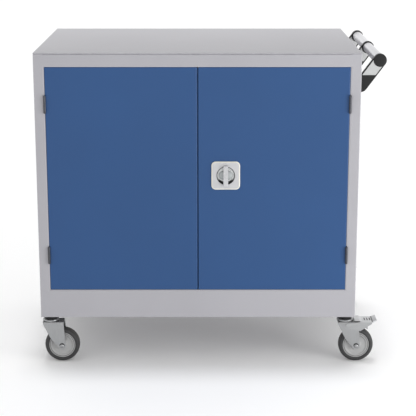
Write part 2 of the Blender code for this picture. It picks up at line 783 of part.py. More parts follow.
def lock_plate(centre):
    """The square plate with its round dish, which reaches through the door's face."""
    half = PLATE_SIZE / 2
    inner = half - PLATE_CORNER
    outline = []
    for i, (sx, sz) in enumerate(((1, 1), (-1, 1), (-1, -1), (1, -1))):
        corner = (centre[0] + sx * inner, centre[2] + sz * inner)
        outline += arc(corner, PLATE_CORNER, i * math.pi / 2, (i + 1) * math.pi / 2, CORNER_STEPS)
    plate = slab("lock_plate", [outline], PLATE_FRONT, PLATE_FRONT + PLATE_THICKNESS, "Y")
    bevel(plate, PLATE_BEVEL)
    outer = DISH_RADIUS + DISH_WALL
    hole = SPINDLE_RADIUS + RUNNING_FIT
    cup = lathe(
        "lock_cup",
        [
            (0.0, CUP_BACK),
            (outer, CUP_BACK),
            (outer, PLATE_FRONT + PLATE_THICKNESS / 2),
            (0.0, PLATE_FRONT + PLATE_THICKNESS / 2),
        ],
        TUBE_STEPS,
        centre,
    )
    dish = lathe(
        "lock_dish",
        [
            (0.0, CUP_BACK + DISH_WALL),
            (hole, CUP_BACK + DISH_WALL),
            (hole, DISH_FLOOR),
            (DISH_FLOOR_RADIUS, DISH_FLOOR),
            (DISH_RADIUS, PLATE_FRONT),
            (DISH_RADIUS, PLATE_FRONT - DISH_WALL),
            (0.0, PLATE_FRONT - DISH_WALL),
        ],
        TUBE_STEPS,
        centre,
    )
    combine(plate, cup, "UNION")
    return combine(plate, dish, "DIFFERENCE")


def lock_grip(centre):
    """The turning grip: a round hub in the dish, and a bar across it that stands out over the plate."""
    back = DISH_FLOOR - GRIP_CLEARANCE
    over = PLATE_FRONT - GRIP_CLEARANCE
    half = GRIP_WIDTH / 2
    inside = DISH_FLOOR_RADIUS - GRIP_CLEARANCE
    x, _, z = centre
    grip = box(
        "lock_grip",
        (x - half, GRIP_FRONT, z - GRIP_LENGTH / 2),
        (x + half, over, z + GRIP_LENGTH / 2),
    )
    bevel(grip, GRIP_BEVEL)
    web = box(
        "grip_web",
        (x - half + GRIP_BEVEL, over - 2 * GRIP_BEVEL, z - inside + GRIP_BEVEL),
        (x + half - GRIP_BEVEL, back, z + inside - GRIP_BEVEL),
    )
    hub = lathe(
        "grip_hub",
        [
            (0.0, back),
            (HUB_RADIUS, back),
            (HUB_RADIUS, PLATE_FRONT - HUB_RISE + GRIP_BEVEL),
            (HUB_RADIUS - GRIP_BEVEL, PLATE_FRONT - HUB_RISE),
            (0.0, PLATE_FRONT - HUB_RISE),
        ],
        TUBE_STEPS,
        centre,
    )
    socket_end = back - SPINDLE_SOCKET
    socket = pin("grip_socket", centre, SPINDLE_RADIUS + FIT, socket_end, back + DISH_WALL)
    key_end = GRIP_FRONT + KEY_DEPTH + FIT
    key_hole = pin("grip_key_hole", centre, KEY_RADIUS + FIT, GRIP_FRONT - DISH_WALL, key_end)
    combine(grip, web, "UNION")
    combine(grip, hub, "UNION")
    combine(grip, socket, "DIFFERENCE")
    return combine(grip, key_hole, "DIFFERENCE")


def key_cylinder(centre):
    """The key cylinder in the grip, with its keyway upright."""
    x, _, z = centre
    cylinder = pin("key_cylinder", centre, KEY_RADIUS, GRIP_FRONT, GRIP_FRONT + KEY_DEPTH, TUBE_STEPS)
    keyway = box(
        "keyway",
        (x - KEYWAY_WIDTH / 2, GRIP_FRONT - KEYWAY_DEPTH, z - KEYWAY_LENGTH / 2),
        (x + KEYWAY_WIDTH / 2, GRIP_FRONT + KEYWAY_DEPTH, z + KEYWAY_LENGTH / 2),
    )
    return combine(cylinder, keyway, "DIFFERENCE")


def lock_spindle(centre):
    """The spindle with its pinion, whose first tooth points along +X."""
    pitch_half = math.pi / GEAR_TEETH * TOOTH_SHARE
    tip_half = pitch_half - ADDENDUM * math.tan(PRESSURE_ANGLE) / GEAR_PITCH
    root_half = pitch_half + DEDENDUM * math.tan(PRESSURE_ANGLE) / GEAR_PITCH
    flank = ((GEAR_PITCH - DEDENDUM, root_half), (GEAR_PITCH, pitch_half), (GEAR_PITCH + ADDENDUM, tip_half))
    outline = []
    for tooth in range(GEAR_TEETH):
        middle = 2 * math.pi * tooth / GEAR_TEETH
        for reach, half in flank:
            outline.append((reach, middle - half))
        for reach, half in reversed(flank):
            outline.append((reach, middle + half))
    loop = [(centre[0] + r * math.cos(t), centre[2] + r * math.sin(t)) for r, t in outline]
    gear = slab("lock_spindle", [loop], GEAR_FRONT, GEAR_BACK, "Y")
    front = DISH_FLOOR - GRIP_CLEARANCE - SPINDLE_SOCKET + FIT
    shaft = pin("spindle_shaft", centre, SPINDLE_RADIUS, front, GEAR_BACK + FIT + CASE_SHEET)
    return combine(gear, shaft, "UNION")


def rod_outline(sign, end):
    """A rod beside the pinion, in X and Z, with its rack. sign is its side and the way that it extends."""
    pitch = math.pi * GEAR_MODULE
    half = pitch / 2 * TOOTH_SHARE
    tip = half - ADDENDUM * math.tan(PRESSURE_ANGLE)
    root = half + DEDENDUM * math.tan(PRESSURE_ANGLE)
    near = ROD_NEAR
    crest = GEAR_PITCH - ADDENDUM
    teeth = []
    for i in range(RACK_TEETH):
        middle = pitch * (i + 1.5 - RACK_TEETH)
        teeth += [(near, middle - root), (crest, middle - tip), (crest, middle + tip), (near, middle + root)]
    tail = pitch * (0.5 - RACK_TEETH)
    far = near + ROD_WIDTH
    run = sign * (end - LOCK_Z)
    outline = [(far, tail), (near, tail), *teeth, (near, run), (far, run)]
    return [(LOCK_X + sign * x, LOCK_Z + sign * z) for x, z in outline]


def lock_case(centre):
    """The sheet case behind the pinion, open to the front, with holes for both rods and the spindle."""
    x, _, z = centre
    half_x = CASE_WIDTH / 2
    half_z = CASE_HEIGHT / 2
    back = GEAR_BACK + FIT + CASE_SHEET
    case = tray(
        "lock_case",
        (x - half_x, GEAR_FRONT, z - half_z),
        (x + half_x, back, z + half_z),
        (0, -1, 0),
        0.0,
    )
    solidify(case, CASE_SHEET)
    reach_x = ROD_WIDTH / 2 + ROD_CLEARANCE
    reach_y = ROD_THICKNESS / 2 + ROD_CLEARANCE
    for name, sign in (("case_hole_top", 1.0), ("case_hole_bottom", -1.0)):
        middle_x = x + sign * ROD_MIDDLE
        edge = z + sign * half_z
        hole = box(
            name,
            (middle_x - reach_x, ROD_Y - reach_y, edge - 2 * CASE_SHEET),
            (middle_x + reach_x, ROD_Y + reach_y, edge + 2 * CASE_SHEET),
        )
        combine(case, hole, "DIFFERENCE")
    tail_hole = pin("case_spindle_hole", centre, SPINDLE_RADIUS + RUNNING_FIT, GEAR_BACK, back + CASE_SHEET)
    return combine(case, tail_hole, "DIFFERENCE")


def build_magnet(root):
    """The magnet under the top rail, against the back of the left door."""
    front = FRONT + DOOR_DEPTH + FIT
    top = OPENING_HIGH - FIT
    low = (-CENTRE_GAP - MAGNET_LENGTH, front, top - MAGNET_HEIGHT)
    magnet = box("door_magnet", low, (-CENTRE_GAP, front + MAGNET_DEPTH, top))
    mount(bevel(magnet, MAGNET_BEVEL, 1), "black_plastic", root)


def bracket_outlines():
    """A handle bracket in X and Z: its outer edge, the window for the inlay and the inlay itself."""
    foot = Vector((SIDE, BODY_TOP - BRACKET_DROP))
    head = Vector((TUBE_X, TUBE_Z))
    along = (head - foot).normalized()
    across = Vector((along.y, -along.x))
    lean = math.atan2(across.y, across.x)
    wall = SIDE + FIT

    def on_edge(offset, value, index):
        """The point on the line at that offset from the bracket's axis where a coordinate has a value."""
        base = foot + across * offset
        return base + along * ((value - base[index]) / along[index])

    edge = arc(head, BRACKET_RADIUS, lean, lean + math.pi, BRACKET_STEPS)
    edge.append(tuple(on_edge(-BRACKET_RADIUS, wall, 0)))
    edge.append((wall, foot.y - BRACKET_RADIUS))
    edge += arc(foot + Vector((FIT, 0.0)), BRACKET_RADIUS - FIT, -math.pi / 2, lean, BRACKET_STEPS // 3)[1:]

    def window(margin):
        """The window, drawn in by a margin."""
        half = BRACKET_RADIUS - BRACKET_RIM - margin
        ring = BRACKET_RADIUS + margin
        low = BODY_TOP - INLAY_DROP + margin
        spread = math.asin(half / ring)
        down = lean - math.pi / 2
        loop = [tuple(on_edge(-half, low, 1)), tuple(on_edge(half, low, 1))]
        return loop + arc(head, ring, down + spread, down - spread, BRACKET_STEPS // 2)

    return edge, window(0.0), window(FIT)


def build_handle(root):
    """The push handle: one tube through three brackets, each with an inlay, and a cap in each end."""
    edge, window, inlay = bracket_outlines()
    hole = circle((TUBE_X, TUBE_Z), TUBE_RADIUS + FIT, TUBE_STEPS)
    half = BRACKET_THICKNESS / 2
    bracket_mesh = settled(slab("bracket", [edge, window, hole], -half, half, "Y"))
    thin = half - INLAY_RECESS
    inlay_mesh = settled(slab("inlay", [inlay], -thin, thin, "Y"))
    reach = BODY_DEPTH / 2 - BRACKET_INSET
    for name, y in (("front", half - reach), ("middle", 0.0), ("rear", reach - half)):
        bracket = mount(draft(f"handle_bracket_{name}", bracket_mesh), "black_plastic", root)
        bracket.location = (0.0, y, 0.0)
        filling = mount(draft(f"handle_inlay_{name}", inlay_mesh), "aluminium", root)
        filling.location = (0.0, y, 0.0)

    inner = TUBE_RADIUS - TUBE_WALL
    ring = [(inner, reach), (TUBE_RADIUS, reach), (TUBE_RADIUS, -reach), (inner, -reach)]
    tube = lathe("handle_tube", ring, TUBE_STEPS, (TUBE_X, 0.0, TUBE_Z), closed=True)
    mount(tube, "aluminium", root)
    start = reach + FIT
    end = start + CAP_THICKNESS
    profile = [
        (0.0, end),
        (BRACKET_RADIUS - CAP_BEVEL, end),
        (BRACKET_RADIUS, end - CAP_BEVEL),
        (BRACKET_RADIUS, start),
        (inner - FIT, start),
        (inner - FIT, start - CAP_PLUG),
        (0.0, start - CAP_PLUG),
    ]
    front_profile = [(r, -h) for r, h in reversed(profile)]
    for name, outline in (("handle_cap_rear", profile), ("handle_cap_front", front_profile)):
        mount(lathe(name, outline, TUBE_STEPS, (TUBE_X, 0.0, TUBE_Z)), "black_plastic", root)


def castor_places():
    """Name and swivel axis of each castor."""
    return [
        ("front_left", -CASTOR_X, -CASTOR_Y),
        ("front_right", CASTOR_X, -CASTOR_Y),
        ("rear_left", -CASTOR_X, CASTOR_Y),
        ("rear_right", CASTOR_X, CASTOR_Y),
    ]


def castor_head():
    """Stud, neck, bearing race and king pin, turned in one. The stud stands in the base tray's flange."""
    under = CASTOR_HEIGHT - FIT
    stud_top = CASTOR_HEIGHT + BASE_SHEET + STUD_END
    race_low = FORK_TOP + FIT
    crown_low = FORK_TOP - FORK_SHEET - FIT
    step = HEAD_FLANGE
    profile = [
        (0.0, stud_top),
        (STUD_RADIUS, stud_top),
        (STUD_RADIUS, under),
        (HEAD_FLANGE_RADIUS, under),
        (HEAD_FLANGE_RADIUS, under - step),
        (NECK_RADIUS, under - step),
        (NECK_RADIUS, RACE_TOP),
        (RACE_RADIUS - step, RACE_TOP),
        (RACE_RADIUS, RACE_TOP - step),
        (RACE_RADIUS, race_low + step),
        (RACE_RADIUS - step / 2, race_low),
        (KINGPIN_RADIUS, race_low),
        (KINGPIN_RADIUS, crown_low),
        (KINGPIN_FLANGE_RADIUS, crown_low),
        (KINGPIN_FLANGE_RADIUS, crown_low - KINGPIN_FLANGE),
        (0.0, crown_low - KINGPIN_FLANGE),
    ]
    return settled(turned("castor_head", profile, HEAD_STEPS))


def castor_fork(braked):
    """A pressed channel over the wheel, cut to the fork's side outline.

    It has holes for the axle and the king pin, and on a braked castor for the lever's pivot.
    """
    side = FORK_HALF
    foot = WHEEL_RADIUS - 2 * FORK_BOSS_RADIUS
    path = [(side, foot), (side, FORK_TOP), (-side, FORK_TOP), (-side, foot)]
    reach = TRAIL + 2 * FORK_BOSS_RADIUS
    fork = bent_sheet("castor_fork", rounded(path, FORK_FOLD), (-reach, reach), "X", FORK_SHEET)
    axle = (TRAIL, WHEEL_RADIUS)
    above = FORK_TOP + FORK_SHEET
    shoulder = WHEEL_RADIUS + 2 * FORK_BOSS_RADIUS
    outline = [
        (-FORK_FRONT, above),
        (-FORK_FRONT, FORK_TOP - 2 * FORK_SHEET),
        (0.0, shoulder),
        *arc(axle, FORK_BOSS_RADIUS, *FORK_BOSS_ARC, EDGE_STEPS),
        (FORK_REAR, FORK_TOP - 2 * FORK_SHEET),
        (FORK_REAR, above),
    ]
    combine(fork, slab("fork_outline", [outline], -2 * side, 2 * side, "Y"), "INTERSECT")
    axle_centre = (TRAIL, 0.0, WHEEL_RADIUS)
    axle_hole = pin("fork_axle_hole", axle_centre, AXLE_RADIUS + RUNNING_FIT, -2 * side, 2 * side)
    king_hole = slab(
        "fork_king_hole",
        [circle((0.0, 0.0), KINGPIN_RADIUS + RUNNING_FIT, HEAD_STEPS)],
        FORK_TOP - 2 * FORK_SHEET,
        above,
        "Z",
    )
    holes = [axle_hole, king_hole]
    if braked:
        centre = (LEVER_PIVOT[0], 0.0, LEVER_PIVOT[1])
        holes.append(pin("fork_lever_hole", centre, LEVER_PIN_RADIUS + RUNNING_FIT, -2 * side, 2 * side))
    for hole in holes:
        combine(fork, hole, "DIFFERENCE")
    return settled(fork)


def castor_axle():
    """The axle bolt with a low round head at each end."""
    inner = FORK_HALF + FIT
    outer = inner + AXLE_HEAD
    upper = [
        (0.0, outer),
        (AXLE_HEAD_RADIUS - AXLE_HEAD / 3, outer),
        (AXLE_HEAD_RADIUS, inner),
        (AXLE_RADIUS, inner),
    ]
    lower = [(r, -h) for r, h in reversed(upper)]
    return settled(lathe("castor_axle", upper + lower, HEAD_STEPS, (TRAIL, 0.0, WHEEL_RADIUS)))


def both_faces(upper):
    """A closed ring profile that is the same on both faces of a wheel."""
    return upper + [(r, -h) for r, h in reversed(upper)]


def wheel_rim():
    """The wheel's centre: hub, dished web and rim."""
    face = RIM_WIDTH / 2
    web = face - RIM_DISH
    upper = [
        (AXLE_RADIUS + RUNNING_FIT, HUB_WIDTH / 2),
        (WHEEL_HUB_RADIUS, HUB_WIDTH / 2),
        (WHEEL_HUB_RADIUS, web),
        (RIM_RADIUS - RIM_LIP, face),
        (RIM_RADIUS, face),
    ]
    half_step = math.pi / WHEEL_STEPS
    return settled(lathe("wheel_rim", both_faces(upper), WHEEL_STEPS, closed=True, phase=half_step))


def wheel_tyre():
    """The rubber tyre with rounded shoulders."""
    half = TYRE_WIDTH / 2
    inner = RIM_RADIUS + FIT
    upper = [
        (inner, RIM_WIDTH / 2),
        (inner + TYRE_BEAD, half),
        (TREAD_RADIUS - TYRE_SHOULDER / 2, half - TYRE_SHOULDER / 6),
        (TREAD_RADIUS, half - TYRE_SHOULDER),
    ]
    half_step = math.pi / WHEEL_STEPS
    return settled(lathe("wheel_tyre", both_faces(upper), WHEEL_STEPS, closed=True, phase=half_step))


def brake_lever():
    """The foot lever: a plate with an upturned tip, two sides on the pivot pin and a shoe over the tyre.

    The shoe's lower face is a circle about the axle, turned back by the lever's travel.
    """
    eye = LEVER_PIVOT
    inner = LEVER_HALF - LEVER_SIDE
    low = LEVER_TOP - LEVER_PLATE
    tip = LEVER_PLATE_END + LEVER_TIP_REACH
    crest = LEVER_TOP + LEVER_TIP_RISE
    plate_outline = [
        (LEVER_PLATE_FRONT, low),
        (LEVER_PLATE_END, low),
        (tip, crest - LEVER_PLATE),
        (tip - LEVER_PLATE / 2, crest),
        (LEVER_PLATE_END - LEVER_PLATE / 2, LEVER_TOP),
        (LEVER_PLATE_FRONT, LEVER_TOP),
    ]
    lever = slab("brake_lever", [plate_outline], -LEVER_HALF, LEVER_HALF, "Y")
    side_outline = [
        *arc(eye, LEVER_EYE_RADIUS, *LEVER_EYE_ARC, EDGE_STEPS),
        LEVER_HEEL,
        (LEVER_PLATE_END - LEVER_PLATE, LEVER_TOP - LEVER_TOE_DEPTH),
        (LEVER_PLATE_END - LEVER_PLATE, LEVER_TOP - LEVER_PLATE / 2),
        (LEVER_PLATE_FRONT, LEVER_TOP - LEVER_PLATE / 2),
    ]
    for name, start in (("lever_side_near", -LEVER_HALF), ("lever_side_far", inner)):
        combine(lever, slab(name, [side_outline], start, start + LEVER_SIDE, "Y"), "UNION")
    axle = (TRAIL, WHEEL_RADIUS)
    pressed = arc(axle, TREAD_RADIUS + SHOE_CLEARANCE, *SHOE_ARC, SHOE_STEPS)
    cos = math.cos(LEVER_TRAVEL)
    sin = math.sin(LEVER_TRAVEL)
    sole = []
    for x, z in pressed:
        dx = x - eye[0]
        dz = z - eye[1]
        sole.append((eye[0] + dx * cos - dz * sin, eye[1] + dx * sin + dz * cos))
    shoe_top = low + LEVER_PLATE / 2
    shoe_outline = [*sole, (sole[-1][0], shoe_top), (sole[0][0], shoe_top)]
    shoe = slab("lever_shoe", [shoe_outline], -SHOE_WIDTH / 2, SHOE_WIDTH / 2, "Y")
    combine(lever, shoe, "UNION")
    middle = LEVER_HALF - LEVER_SIDE / 2
    rod = pin("lever_pin", (eye[0], 0.0, eye[1]), LEVER_PIN_RADIUS, -middle, middle)
    combine(lever, rod, "UNION")
    return settled(lever)


def build_castors(root):
    """Four swivel castors whose wheels trail towards +X. The right pair has brake levers."""
    head = castor_head()
    plain_fork = castor_fork(False)
    braked_fork = castor_fork(True)
    axle = castor_axle()
    rim = wheel_rim()
    tyre = wheel_tyre()
    lever = brake_lever()
    for place, x, y in castor_places():
        braked = x > 0
        fork = braked_fork if braked else plain_fork
        swivel = pivot(f"swivel_{place}", (x, y, 0.0), root)
        spin = pivot(f"spin_{place}", (TRAIL, 0.0, WHEEL_RADIUS), swivel)
        mount(draft(f"castor_head_{place}", head), "zinc", swivel)
        mount(draft(f"castor_fork_{place}", fork), "zinc", swivel)
        mount(draft(f"castor_axle_{place}", axle), "zinc", swivel)
        mount(draft(f"wheel_rim_{place}", rim), "rim_plastic", spin)
        mount(draft(f"wheel_tyre_{place}", tyre), "tyre_rubber", spin)
        if braked:
            eye = (LEVER_PIVOT[0], 0.0, LEVER_PIVOT[1])
            brake = pivot(f"brake_axis_{place}", eye, swivel)
            mount(draft(f"brake_lever_{place}", lever), "zinc", brake, eye)


def build():
    """Builds the whole cupboard."""
    clear_scene()
    root = pivot("cupboard", (FOOTPRINT_X, FOOTPRINT_Y, 0.0))
    build_carcass(root)
    build_shelf(root)
    hung = build_doors(root)
    build_hinges(root, hung)
    build_lock(hung)
    build_magnet(root)
    build_handle(root)
    build_castors(root)


build()
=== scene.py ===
"""Mobile cupboard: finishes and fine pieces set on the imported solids, with a plain studio around them.

Sizes are in metres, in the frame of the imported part: +Z is up, the doors face -Y, the floor is z = 0.
"""

import math

import bmesh
import bpy
import numpy as np
from bpy.props import FloatProperty, FloatVectorProperty, PointerProperty
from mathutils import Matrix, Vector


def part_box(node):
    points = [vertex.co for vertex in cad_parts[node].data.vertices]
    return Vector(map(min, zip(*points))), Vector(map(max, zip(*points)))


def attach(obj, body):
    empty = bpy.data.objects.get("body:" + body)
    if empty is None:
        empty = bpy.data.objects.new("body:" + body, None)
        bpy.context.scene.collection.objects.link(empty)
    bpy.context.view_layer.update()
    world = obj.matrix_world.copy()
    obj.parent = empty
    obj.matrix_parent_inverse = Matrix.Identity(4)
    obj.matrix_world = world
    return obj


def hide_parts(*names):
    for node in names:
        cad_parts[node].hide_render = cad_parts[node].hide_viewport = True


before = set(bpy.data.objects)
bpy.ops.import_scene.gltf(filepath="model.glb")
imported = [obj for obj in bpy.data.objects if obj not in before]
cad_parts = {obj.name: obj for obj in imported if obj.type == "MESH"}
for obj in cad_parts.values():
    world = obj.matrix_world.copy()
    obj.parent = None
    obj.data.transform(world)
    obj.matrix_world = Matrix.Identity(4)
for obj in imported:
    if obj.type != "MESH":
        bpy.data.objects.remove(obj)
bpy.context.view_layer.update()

bl_info = {
    "name": "Mobile Cupboard",
    "version": (1, 0, 0),
    "blender": (4, 5, 0),
    "location": "3D View > Sidebar > Cupboard",
    "description": "Finishes, smooth pieces and studio for a steel cupboard on castors",
    "category": "Object",
}

PLACES = ("front_left", "front_right", "rear_left", "rear_right")
BRAKED = ("front_right", "rear_right")
SIDES = {"left": 1, "right": -1}  # the way inwards along x
GREY_PANELS = ("side_left", "side_right", "top_panel", "top_rail", "base_tray", "back_panel", "shelf")
AXIS_ORDER = {"X": [2, 0, 1], "Y": [0, 2, 1], "Z": [0, 1, 2]}
SHEET = 0.0012  # thickness of the cabinet's folded sheet
STRIP_CORNER = 0.002  # largest corner radius of a strip
HAIR_GAP = 0.0001  # keeps two surfaces that would meet apart
# Shares of an axle head's radius and depth, from its top to its seat
DOME = ((0.0, 0.0), (0.55, 0.08), (0.86, 0.36), (1.0, 0.72), (1.0, 1.0))
CREASE = math.radians(34.0)  # edges that turn by more than this stay sharp
MERGE_DISTANCE = 2e-6  # points nearer than this become one
NO_LENGTH = 1e-9  # stands for the length of a side that has none


# Surfaces


def softened(rows, ease, steps=5, closed=False):
    """Rows of a profile with every corner eased.

    Near a corner P the profile follows (1-t)^2 A + 2t(1-t) P + t^2 B, where A and B lie on the two sides
    that meet in P, `ease` away from it or half way along a short side. `ease` may have a value per row.
    """
    rows = np.asarray(rows, float)
    back = np.roll(rows, 1, 0) - rows
    ahead = np.roll(rows, -1, 0) - rows
    if not closed:
        back[0] = 0.0
        ahead[-1] = 0.0
    ease = np.broadcast_to(np.asarray(ease, float), len(rows))

    def cut(side):
        length = np.maximum(np.hypot(side[:, 0], side[:, -1]), NO_LENGTH)
        return rows + side * np.minimum(ease / length, 0.5)[:, None]

    t = np.linspace(0.0, 1.0, steps)[None, :, None]
    start, corner, end = cut(back)[:, None], rows[:, None], cut(ahead)[:, None]
    curve = (1 - t) ** 2 * start + 2 * t * (1 - t) * corner + t**2 * end
    return curve.reshape(-1, rows.shape[1])


def both_sides(half, shared=0):
    """A profile from one half of it: its rows, then those rows in reverse with their depth turned over.

    The first `shared` rows lie in the middle and aren't repeated.
    """
    return half + [(radius, -depth) for radius, depth in reversed(half[shared:])]


def ring_of(inner, outer, start, end):
    """Profile of a plain ring: two radii between two depths."""
    return [(inner, start), (outer, start), (outer, end), (inner, end)]


def slab(outline, front, back):
    """Rows of a plate: its outline at two depths, closed by a point at each."""
    return [(0, 0, 0, front), (*outline, front), (*outline, back), (0, 0, 0, back)]


def seated(hollow, outline, floor, front, back):
    """Rows of a block with a hollow in its front: the hollow from its floor, then the outline."""
    return [(0, 0, 0, floor), (*hollow, floor), (*hollow, front), *slab(outline, front, back)[1:]]


def lofted(rows, count):
    """Points of rounded rectangles, one ring for each row (half width, half height, corner, depth).

    A ring's quarter is the corner's centre plus the corner radius times (cos, sin) of an angle that runs
    over that quarter. A row of two, (radius, depth), is a circle, whose half sizes equal its corner.
    """
    rows = np.asarray(rows, float)
    if rows.shape[1] == 2:
        rows = rows[:, [0, 0, 0, 1]]
    angle = (np.arange(4)[:, None] * math.pi / 2 + np.linspace(0.0, math.pi / 2, count)).ravel()
    side_u = np.repeat([1, -1, -1, 1], count)
    side_v = np.repeat([1, 1, -1, -1], count)
    half_u, half_v, corner, depth = (column[:, None] for column in rows.T)
    u = side_u * (half_u - corner) + corner * np.cos(angle)
    v = side_v * (half_v - corner) + corner * np.sin(angle)
    return np.stack([u, v, np.broadcast_to(depth, u.shape)], axis=-1)


def linked(name, data):
    """A new object in the scene's collection."""
    made = bpy.data.objects.new(name, data)
    bpy.context.scene.collection.objects.link(made)
    return made


def surface(name, points, rows_meet=False, ring=True):
    """A mesh piece from a grid of points: neighbours in rows and columns are joined by four-sided faces.

    `ring` joins the last column to the first and `rows_meet` the last row to the first. Rings that shrink
    to a point become poles when doubles are merged, and the faces are then turned outwards.
    """
    rows, columns = points.shape[:2]
    index = np.arange(rows * columns).reshape(rows, columns)
    if rows_meet:
        index = np.vstack([index, index[:1]])
    if ring:
        index = np.hstack([index, index[:, :1]])
    faces = np.stack([index[:-1, :-1], index[1:, :-1], index[1:, 1:], index[:-1, 1:]], axis=-1)
    mesh = bpy.data.meshes.new(name)
    mesh.from_pydata(points.reshape(-1, 3).tolist(), [], faces.reshape(-1, 4).tolist())
    work = bmesh.new()
    work.from_mesh(mesh)
    bmesh.ops.remove_doubles(work, verts=work.verts, dist=MERGE_DISTANCE)
    bmesh.ops.dissolve_degenerate(work, edges=work.edges, dist=MERGE_DISTANCE)
    bmesh.ops.recalc_face_normals(work, faces=work.faces)
    work.to_mesh(mesh)
    work.free()
    mesh.polygons.foreach_set("use_smooth", np.ones(len(mesh.polygons), bool))
    mesh.set_sharp_from_angle(angle=CREASE)
    return linked(name, mesh)


def body_of(name, rows, ease, centre, axis, count, steps=5, closed=False):
    """A lofted piece: eased rows become rings about `centre`, with their depth along `axis`.

    A closed piece, such as a ring with a bore, has its last row joined to its first.
    """
    points = lofted(softened(rows, ease, steps, closed), count)
    return surface(name, points[..., AXIS_ORDER[axis]] + np.asarray(centre), rows_meet=closed)


def strip(name, across, upright, depth):
    """A flat strip from its limits along x, z and y: a rounded rectangle carried along y, eased."""
    half_u, half_v = abs(across[1] - across[0]) / 2, abs(upright[1] - upright[0]) / 2
    centre = (sum(across) / 2, 0.0, sum(upright) / 2)
    corner = min(half_u, half_v, STRIP_CORNER) * 0.9
    rows = slab((half_u, half_v, corner), *depth)
    return body_of(name, rows, [0, 0.0003, 0.0001, 0], centre, "Y", 5)


def bent_sheet(name, path, width, sheet, middle, ease):
    """A sheet bent along a path of (x, z) points, eased at its bends, with its width about y = `middle`.

    Each ring is a thin rounded rectangle: the path's point plus u along the path's normal and v along y.
    The first and last rings shrink to a point, which closes the sheet's ends.
    """
    path = softened(path, ease)
    tangent = np.gradient(path, axis=0)
    normal = tangent[:, [1, 0]] * (-1, 1) / np.hypot(*tangent.T)[:, None]
    path, normal = (np.concatenate([rows[:1], rows, rows[-1:]]) for rows in (path, normal))
    share = np.ones((len(path), 1))
    share[[0, -1]] = 0.0
    u, v = lofted([(sheet / 2, width / 2, sheet * 0.45, 0.0)], 4)[0, :, :2].T
    x = path[:, :1] + normal[:, :1] * u * share
    z = path[:, 1:] + normal[:, 1:] * u * share
    y = middle + v * share
    return surface(name, np.stack([x, y, z], axis=-1))


# Finishes


def math_node(operation, flipped=False):
    """A method that makes a Math node of a field and other terms, with the field last where `flipped`."""

    def method(self, *others):
        terms = (*others, self) if flipped else (self, *others)
        return self.finish.node("ShaderNodeMath", {"operation": operation}, dict(enumerate(terms)))

    return method


class Field:
    """A value that varies over a surface. Arithmetic on it adds Math nodes to its finish."""

    def __init__(self, finish, socket):
        self.finish = finish
        self.socket = socket

    __add__ = __radd__ = math_node("ADD")
    __sub__ = math_node("SUBTRACT")
    __rsub__ = math_node("SUBTRACT", flipped=True)
    __mul__ = __rmul__ = math_node("MULTIPLY")
    __truediv__ = math_node("DIVIDE")
    __rtruediv__ = math_node("DIVIDE", flipped=True)
    __pow__ = math_node("POWER")
    __abs__ = math_node("ABSOLUTE")
    sine = math_node("SINE")
    least = math_node("MINIMUM")
    most = math_node("MAXIMUM")


class Finish:
    """A material whose colour, roughness and relief are worked out from the piece's own coordinates."""

    def __init__(self, name, constants):
        self.material = bpy.data.materials.new(name)
        self.material.use_nodes = True
        self.tree = self.material.node_tree
        self.shader = next(n for n in self.tree.nodes if n.type == "BSDF_PRINCIPLED")
        for socket, value in constants.items():
            self.shader.inputs[socket].default_value = value
        self.place = self.node("ShaderNodeTexCoord", {}, {}, "Object")

    def join(self, value, socket):
        if isinstance(value, Field):
            self.tree.links.new(value.socket, socket)
        else:
            socket.default_value = value

    def node(self, kind, settings, sockets, output=0):
        """Any node: its settings first, then the values or links of its sockets."""
        made = self.tree.nodes.new(kind)
        for setting, value in settings.items():
            setattr(made, setting, value)
        for socket, value in sockets.items():
            self.join(value, made.inputs[socket])
        return Field(self, made.outputs[output])

    def axes(self, centre=(0.0, 0.0, 0.0)):
        """The three coordinates, counted from `centre`."""
        split = self.node("ShaderNodeSeparateXYZ", {}, {0: self.place})
        outputs = split.socket.node.outputs
        return [Field(self, outputs[i]) - centre[i] for i in range(3)]

    def noise(self, scale, detail=2.0, stretch=(1.0, 1.0, 1.0)):
        """Cloudy noise from 0 to 1 with `scale` features a metre, stretched along the axes."""
        where = self.node("ShaderNodeMapping", {}, {"Vector": self.place, "Scale": stretch})
        return self.node("ShaderNodeTexNoise", {}, {"Vector": where, "Scale": scale, "Detail": detail})

    def cells(self, scale):
        """A random tone for each cell of a crystal-like pattern."""
        made = self.node("ShaderNodeTexVoronoi", {}, {"Vector": self.place, "Scale": scale}, "Color")
        return self.node("ShaderNodeSeparateColor", {}, {0: made})

    def step(self, value, low, high):
        """0 below `low`, 1 above `high`, smooth between."""
        sockets = {0: value, 1: low, 2: high}
        return self.node("ShaderNodeMapRange", {"interpolation_type": "SMOOTHSTEP"}, sockets)

    def mix(self, share, first, second):
        """The first colour where share is 0 and the second where it is 1."""
        return self.node("ShaderNodeMix", {"data_type": "RGBA"}, {0: share, 6: first, 7: second}, 2)

    def shades(self, share, colour, dark, light):
        """One colour, from `dark` times it where share is 0 to `light` times it where share is 1."""
        return self.mix(share, linear(colour, dark), linear(colour, light))

    def done(self, colour, roughness, height=None, depth=0.0, strength=0.0):
        """The material with its colour and roughness, and a bump of `depth` metres if given a height."""
        self.join(colour, self.shader.inputs["Base Color"])
        self.join(roughness, self.shader.inputs["Roughness"])
        if height is not None:
            sockets = {"Height": height, "Distance": depth, "Strength": strength}
            self.join(self.node("ShaderNodeBump", {}, sockets), self.shader.inputs["Normal"])
        return self.material


def linear(colour, scale=1.0):
    """A display colour as the linear colour that a shader takes, times `scale`."""
    shown = np.asarray(colour[:3], float)
    light = np.where(shown <= 0.04045, shown / 12.92, ((shown + 0.055) / 1.055) ** 2.4) * scale
    return (*np.clip(light, 0.0, 1.0).tolist(), 1.0)


def radius_of(u, v):
    """Distance from the axis: the root of u squared plus v squared."""
    return (u * u + v * v) ** 0.5


